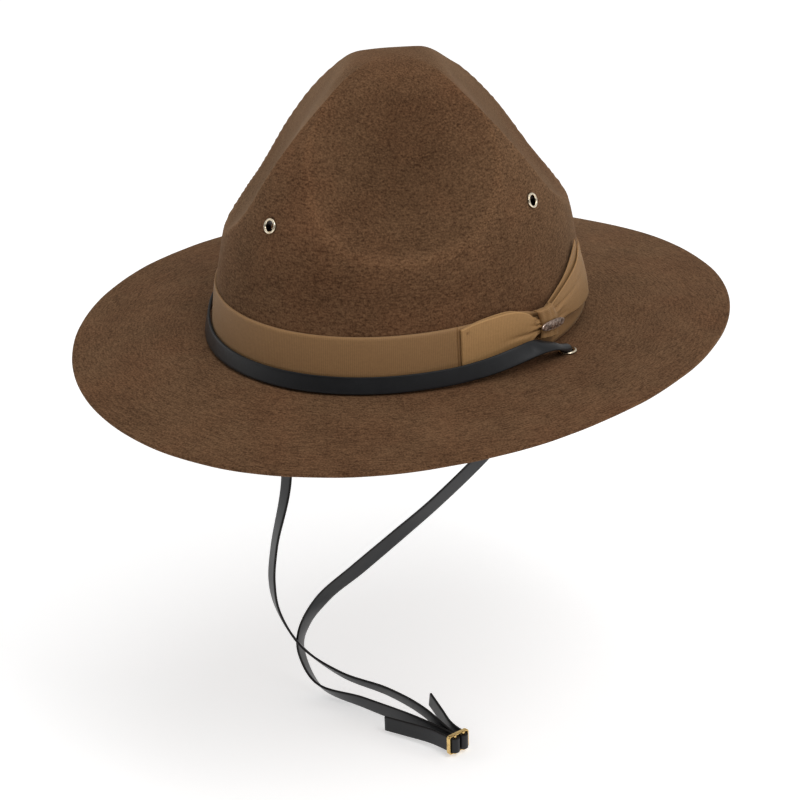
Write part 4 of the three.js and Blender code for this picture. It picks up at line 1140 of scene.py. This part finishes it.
def strap_stations(felt, metal, ribbon, strap):
    """The strap's stations in order, each with its point, its width's direction and its width: the
    folded end, the turn round one bar, the left leg, the brim from eyelet to eyelet round the
    front, the right leg, the other bar and the free end."""
    fold, bar = bar_fit(strap)
    middle, along_way, side_way, up = buckle_axes(strap)
    pinch = math.sqrt((metal.brim_bore - 3 * GAP) ** 2 - strap.thickness**2)
    offset = GAP + ribbon.band + GAP + strap.thickness / 2
    rows = []

    def put(point, across, width=strap.width):
        """Adds a station."""
        rows.append(np.concatenate([point, unit(np.asarray(across, float)), [width]]))

    def at_buckle(a, s, r):
        """Adds an upright station along, beside and above the buckle's middle."""
        put(middle + along_way * a + side_way * s + up * r, up)

    def end(table, length, side):
        """One end of the strap, outside its bar."""
        for a, s, r in table:
            sideways = side * (bar + fold) + (s - side * 0.1) * length
            at_buckle(BAR_FORWARD - a * length, sideways, r * length)

    def bar_turn(side, backwards):
        """A half circle round a bar, then back between the bars."""
        steps = [(BAR_FORWARD + fold * math.sin(t), side * (bar + fold * math.cos(t)))
                 for t in np.linspace(0, math.pi, 7)]
        steps.append((BAR_FORWARD - 8 * MM, side * (bar - fold)))
        for a, s in steps[::-1] if backwards else steps:
            at_buckle(a, s, 0.0)

    def leg(table, top, backwards):
        """The straight run from the buckle to an eyelet plus the table's offsets, with the width
        turned about the run by the table's angle."""
        made = []
        points = [middle + (top - middle) * run + np.array([x, y, z]) * strap.drop
                  for run, x, y, z, _ in table]
        for k, row in enumerate(table):
            above = points[k + 1] if k + 1 < len(points) else top
            below = points[k - 1] if k else middle
            tangent = unit(below - above)
            square = unit(np.cross(tangent, [0, 1, 0]))
            turn = math.radians(row[4])
            across = square * math.cos(turn) + np.cross(tangent, square) * math.sin(turn)
            made.append((points[k], across))
        for point, across in made[::-1] if backwards else made:
            put(point, across)

    def eyelet(degrees, backwards):
        """Straight through an eyelet along its axis, as narrow as its bore."""
        seat = brim_seat(felt, metal, degrees)
        way = [math.copysign(1, math.cos(math.radians(degrees))), 0, 0]
        heights = [2 * MM, 0.4 * MM, -felt.brim_thickness - 0.4 * MM, -felt.brim_thickness - 3 * MM]
        for h in heights[::-1] if backwards else heights:
            put(seat[0] + seat[1] * h, way, pinch)

    def stretch(degrees, towards, backwards):
        """From an eyelet forward on the brim, rising onto the strap's edge against the band."""
        made = []
        for forward_by, out, lift, narrow, lean in BRIM_STRETCH:
            angle = math.radians(degrees + towards * forward_by)
            away = offset + (metal.brim_reach - offset) * out
            base = brim_point(felt, angle, away / felt.brim_width)
            outward = brim_point(felt, angle, 1.0) - brim_point(felt, angle, 0.0)
            outward[2] = 0
            tilt = math.radians(lean)
            width = strap.width + (pinch - strap.width) * narrow
            half = math.cos(tilt) * width / 2 + math.sin(tilt) * strap.thickness / 2
            base[2] += half + 2 * GAP + lift * strap.width
            made.append((base, up * math.cos(tilt) - unit(outward) * math.sin(tilt), width))
        for row in made[::-1] if backwards else made:
            put(*row)

    left, right = BRIM_EYELETS["left"], BRIM_EYELETS["right"]
    end(FOLDED_END, strap.fold, -1)
    bar_turn(-1, False)
    leg(LEFT_LEG, brim_seat(felt, metal, left)[0], False)
    eyelet(left, True)
    stretch(left, -1, False)
    first, last = left - BRIM_STRETCH[-1][0], right + BRIM_STRETCH[-1][0] - 360
    for share in np.arange(1, 6) / 6:
        angle = math.radians(first + (last - first) * share)
        point = brim_point(felt, angle, (offset + 0.6 * MM) / felt.brim_width)
        outward = unit((brim_point(felt, angle, 1.0) - brim_point(felt, angle, 0.0)) * [1, 1, 0])
        put(point + up * (strap.width / 2 * math.cos(STRAP_LEAN) + 3 * GAP),
            up * math.cos(STRAP_LEAN) - outward * math.sin(STRAP_LEAN))
    stretch(right, 1, True)
    eyelet(right, False)
    leg(RIGHT_LEG, brim_seat(felt, metal, right)[0], True)
    bar_turn(1, True)
    end(FREE_END, strap.tail, 1)
    table = np.array(rows)
    for k in range(1, len(table)):
        if table[k, 3:6] @ table[k - 1, 3:6] < 0:
            table[k, 3:6] *= -1
    return table


def build_strap(felt, metal, ribbon, strap):
    """The strap: a flat section with rounded corners carried along the stations' spline. Where
    the width narrows, the section curls into an arc of the same length."""
    table = strap_stations(felt, metal, ribbon, strap)
    chord = np.linalg.norm(np.diff(table[:, :3], axis=0), axis=1)
    steps = np.clip(np.round(chord / STRAP_STEP), 3, 24).astype(int)
    spans = np.concatenate([np.repeat(np.arange(len(chord)), steps), [len(chord) - 1]])
    starts = np.concatenate([[0], np.cumsum(steps)])
    weights = (np.arange(len(spans)) - starts[spans]) / steps[spans]
    weights[-1] = 1.0
    middle = centripetal_path(table[:, :3], spans, weights)
    across = centripetal_path(table[:, 3:6], spans, weights)
    ahead = table[np.minimum(spans + 1, len(table) - 1), 6]
    width = table[spans, 6] + (ahead - table[spans, 6]) * weights
    tangent = unit(np.gradient(middle, axis=0))
    face = unit(np.cross(tangent, across))
    across = np.cross(face, tangent)

    corner = STRAP_CORNER
    half, deep = strap.width / 2, strap.leather / 2
    flat = np.linspace(-half + corner, half - corner, 9)
    bend = np.linspace(0, np.pi / 2, 4)[1:-1]
    round_a, round_b = corner * np.sin(bend), corner * np.cos(bend)
    top = [(a, deep) for a in flat]
    upper = [(half - corner + a, deep - corner + b) for a, b in zip(round_a, round_b)]
    right = [*upper, (half, deep - corner), (half, -deep + corner)]
    right += [(a, -b) for a, b in upper[::-1]]
    profile = np.array(top + right)
    profile = np.concatenate([profile, -profile])
    share = np.clip(width / strap.width, 0.45, 1.0)
    bends = np.linspace(1e-3, 2.0, 200)
    curl = np.interp(-share, -np.sin(bends) / bends, bends)
    radius = strap.width / 2 / curl
    angle = profile[None, :, 0] / radius[:, None]
    reach = radius[:, None] + profile[None, :, 1]
    sag = (radius * (1 - np.sin(curl) / curl))[:, None]
    a = reach * np.sin(angle)
    b = reach * np.cos(angle) - radius[:, None] + sag
    points = middle[:, None] + across[:, None] * a[..., None] + face[:, None] * b[..., None]

    count = len(profile)
    faces, i, j = grid_faces(len(points), count, False, True)
    length = running_length(middle)
    girth = np.linspace(0, 2 * (strap.width + strap.thickness), count + 1)
    uv = list(np.stack([length[i], girth[j]], -1).reshape(-1, 2))
    caps = [list(range(count)), list(range((len(points) - 1) * count, len(points) * count))[::-1]]
    uv += [(0.0, 0.0)] * (2 * count)
    edge = np.tile((np.abs(profile[:, 0]) > half - corner * 0.6).astype(float), len(points))
    add_piece("chin_strap_leather", points, faces.tolist() + caps, leather_material(strap),
              ("chin_strap",), uv, {"cut_edge": edge})


def rounded_loop(width, height, corner, steps):
    """A rectangle with round corners, as points and outward directions."""
    turn = [k * np.pi / 2 + np.linspace(0, np.pi / 2, steps) for k in range(4)]
    ways = np.stack([np.cos(turn), np.sin(turn)], -1)
    middles = np.array([(1, 1), (-1, 1), (-1, -1), (1, -1)]) * [width / 2 - corner,
                                                                height / 2 - corner]
    return (middles[:, None] + corner * ways).reshape(-1, 2), ways.reshape(-1, 2)


def build_buckle(strap, metal):
    """The buckle: a rounded wire section carried round a rounded rectangle, and two upright bars
    with domed ends standing through it."""
    fold, bar = bar_fit(strap)
    inner_w = 2 * (bar + fold + strap.thickness / 2 + GAP)
    inner_h = strap.width + 2 * GAP
    loop, ways = rounded_loop(inner_w + WIRE, inner_h + WIRE, 1.1 * MM, 8)
    section, _ = rounded_loop(WIRE_DEPTH, WIRE, 0.35 * MM, 5)
    middle, along, side, up = buckle_axes(strap)
    plane = np.stack([side, up])
    points = (middle + (loop @ plane)[:, None] + along * section[None, :, :1]
              + (ways @ plane)[:, None] * section[None, :, 1:])
    faces = grid_faces(len(loop), len(section), True, True)[0][:, ::-1].tolist()
    vertices = [points.reshape(-1, 3)]
    count = len(vertices[0])
    tall = inner_h / 2 + WIRE + 0.25 * MM
    low_end = [(BAR_RADIUS * math.sin(t), -tall - BAR_DOME * math.cos(t) + BAR_DOME)
               for t in np.linspace(0.15, 1.57, 5)]
    high_end = [(BAR_RADIUS * math.cos(t), tall - BAR_DOME + BAR_DOME * math.sin(t))
                for t in np.linspace(0, 1.42, 5)]
    profile = low_end + high_end
    for sign in (-1, 1):
        seat = (middle + along * BAR_FORWARD + side * sign * bar, up)
        grid = count + np.arange(BAR_SIDES * len(profile)).reshape(BAR_SIDES, -1)
        faces += (grid_faces(*grid.shape, True)[0] + count).tolist()
        faces += [grid[::-1, 0].tolist(), grid[:, -1].tolist()]
        vertices.append(lathe(profile, BAR_SIDES, seat)[0].reshape(-1, 3))
        count += grid.size
    add_piece("buckle_brass", np.vstack(vertices), faces, brass_material(metal),
              ("buckle_frame",))


# Stage


def build_stage(stage):
    """Pale floor at the strap's lowest point, surrounding light that is dimmer from behind the
    camera, three soft lamps and the camera of the photograph."""
    scene = bpy.context.scene
    low, half = CAD_BOX[0].z - FLOOR_DROP, FLOOR_HALF
    corners = [(-half, -half, low), (half, -half, low), (half, half, low), (-half, half, low)]
    mesh = bpy.data.meshes.new("floor")
    mesh.from_pydata(corners, [], [(0, 1, 2, 3)])
    floor = bpy.data.objects.new("floor", mesh)
    scene.collection.objects.link(floor)
    mesh.materials.append(new_material("Pale floor", {
        "Base Color": rgba(stage.floor), "Roughness": 0.9, "Specular IOR Level": 0.1,
        "Emission Color": (1.0, 1.0, 1.0, 1.0), "Emission Strength": stage.glow})[0])

    world = scene.world or bpy.data.worlds.new("World")
    scene.world = world
    world.use_nodes = True
    tree = world.node_tree
    background = tree.nodes["Background"]
    background.inputs["Color"].default_value = (1.0, 1.0, 1.0, 1.0)
    place = node(tree, "ShaderNodeTexCoord").outputs["Generated"]
    facing = node(tree, "ShaderNodeVectorMath", {0: place, 1: DIM_WAY}, operation="DOT_PRODUCT")
    strength = node(tree, "ShaderNodeMapRange", {
        "Value": facing.outputs["Value"], "From Min": 0.45, "From Max": 0.9,
        "To Min": stage.ambient, "To Max": stage.dim}, interpolation_type="SMOOTHSTEP")
    feed(tree, background.inputs["Strength"], strength.outputs["Result"])
    scene.view_settings.view_transform = "Standard"

    for name, place, width, power in (("left_softbox", (-1.2, -0.6, 0.95), 0.9, stage.left),
                                      ("key_softbox", (1.0, -0.27, 1.25), 0.8, stage.key),
                                      ("top_softbox", (0.0, 0.0, 1.6), 1.1, stage.top)):
        light = bpy.data.lights.new(name, "AREA")
        light.shape, light.size, light.energy = "DISK", width, power
        lamp = bpy.data.objects.new(name, light)
        lamp.location = place
        way = Vector(LIGHT_TARGET) - Vector(place)
        lamp.rotation_euler = way.to_track_quat("-Z", "Y").to_euler()
        scene.collection.objects.link(lamp)

    azimuth, elevation, roll = (math.radians(a) for a in CAMERA_ANGLES)
    flat = math.cos(elevation)
    back = Vector((math.sin(azimuth) * flat, -math.cos(azimuth) * flat, math.sin(elevation)))
    right = Vector((math.cos(azimuth), math.sin(azimuth), 0))
    up = back.cross(right)
    tilted_right = right * math.cos(roll) + up * math.sin(roll)
    tilted_up = up * math.cos(roll) - right * math.sin(roll)
    turn = Matrix((tilted_right, tilted_up, back)).transposed()
    data = bpy.data.cameras.new("camera")
    data.sensor_width, data.lens = 36.0, stage.lens
    data.clip_start, data.clip_end = 0.05, 50.0
    camera = bpy.data.objects.new("camera", data)
    camera.matrix_world = Matrix.Translation(Vector(CAMERA_PLACE)) @ turn.to_4x4()
    scene.collection.objects.link(camera)
    scene.camera = camera


# Operators


def settings():
    """The hat's settings on the current scene."""
    scene = bpy.context.scene
    return scene.hat_felt, scene.hat_ribbon, scene.hat_strap, scene.hat_metal, scene.hat_stage


class HAT_OT_felt(bpy.types.Operator):
    """Build the felt crown and brim"""

    bl_idname = "hat.felt"
    bl_label = "Felt"

    def execute(self, context):
        felt, _, _, metal, _ = settings()
        build_felt(felt, metal)
        return {"FINISHED"}


class HAT_OT_band(bpy.types.Operator):
    """Build the ribbon band"""

    bl_idname = "hat.band"
    bl_label = "Band"

    def execute(self, context):
        felt, ribbon, _, _, _ = settings()
        build_band(felt, ribbon)
        return {"FINISHED"}


class HAT_OT_bow(bpy.types.Operator):
    """Build the bow's wings, knot, threads and pin"""

    bl_idname = "hat.bow"
    bl_label = "Bow"

    def execute(self, context):
        felt, ribbon, _, metal, _ = settings()
        build_front_wing(felt, ribbon)
        build_rear_wing(felt, ribbon)
        build_knot(felt, ribbon)
        build_threads(felt, ribbon)
        build_pin(felt, ribbon, metal)
        return {"FINISHED"}


class HAT_OT_eyelets(bpy.types.Operator):
    """Build the crown vents and brim eyelets"""

    bl_idname = "hat.eyelets"
    bl_label = "Eyelets"

    def execute(self, context):
        felt, _, _, metal, _ = settings()
        for place, angle in VENTS.items():
            build_eyelet(f"vent_{place}", vent_seat(felt, metal, angle), metal.vent_bore,
                         metal.vent_flange, felt.wall, metal, f"vent_eyelet_{place}")
        for place, angle in BRIM_EYELETS.items():
            build_eyelet(f"strap_eyelet_{place}", brim_seat(felt, metal, angle), metal.brim_bore,
                         metal.brim_flange, felt.brim_thickness, metal, f"brim_eyelet_{place}")
        return {"FINISHED"}


class HAT_OT_strap(bpy.types.Operator):
    """Build the chin strap and its buckle"""

    bl_idname = "hat.strap"
    bl_label = "Chin strap"

    def execute(self, context):
        felt, ribbon, strap, metal, _ = settings()
        build_strap(felt, metal, ribbon, strap)
        build_buckle(strap, metal)
        return {"FINISHED"}


class HAT_OT_stage(bpy.types.Operator):
    """Set the floor, light and camera"""

    bl_idname = "hat.stage"
    bl_label = "Stage"

    def execute(self, context):
        build_stage(settings()[4])
        return {"FINISHED"}


class HAT_PT_panel(bpy.types.Panel):
    """The hat's pieces and their settings"""

    bl_idname = "HAT_PT_panel"
    bl_label = "Campaign Hat"
    bl_space_type = "VIEW_3D"
    bl_region_type = "UI"
    bl_category = "Hat"

    def draw(self, context):
        for group in settings():
            box = self.layout.box()
            for name in group.bl_rna.properties.keys():
                if name not in {"rna_type", "name"}:
                    box.prop(group, name)
        for operator in PIECES:
            self.layout.operator(operator.bl_idname)


PIECES = (HAT_OT_stage, HAT_OT_felt, HAT_OT_band, HAT_OT_bow, HAT_OT_eyelets, HAT_OT_strap)
GROUPS = {"hat_felt": HAT_PG_felt, "hat_ribbon": HAT_PG_ribbon, "hat_strap": HAT_PG_strap,
          "hat_metal": HAT_PG_metal, "hat_stage": HAT_PG_stage}


def register():
    """Registers the classes and puts the settings on the scene."""
    for cls in (*GROUPS.values(), *PIECES, HAT_PT_panel):
        bpy.utils.register_class(cls)
    for name, group in GROUPS.items():
        setattr(bpy.types.Scene, name, PointerProperty(type=group))


def unregister():
    """Takes the settings off the scene and unregisters the classes."""
    for name in GROUPS:
        delattr(bpy.types.Scene, name)
    for cls in reversed((*GROUPS.values(), *PIECES, HAT_PT_panel)):
        bpy.utils.unregister_class(cls)


def main():
    """Builds the stage and every piece."""
    register()
    for operator in PIECES:
        group, name = operator.bl_idname.split(".")
        if getattr(getattr(bpy.ops, group), name)() != {"FINISHED"}:
            raise RuntimeError(f"{operator.bl_label} was not built")


if __name__ == "__main__":
    main()
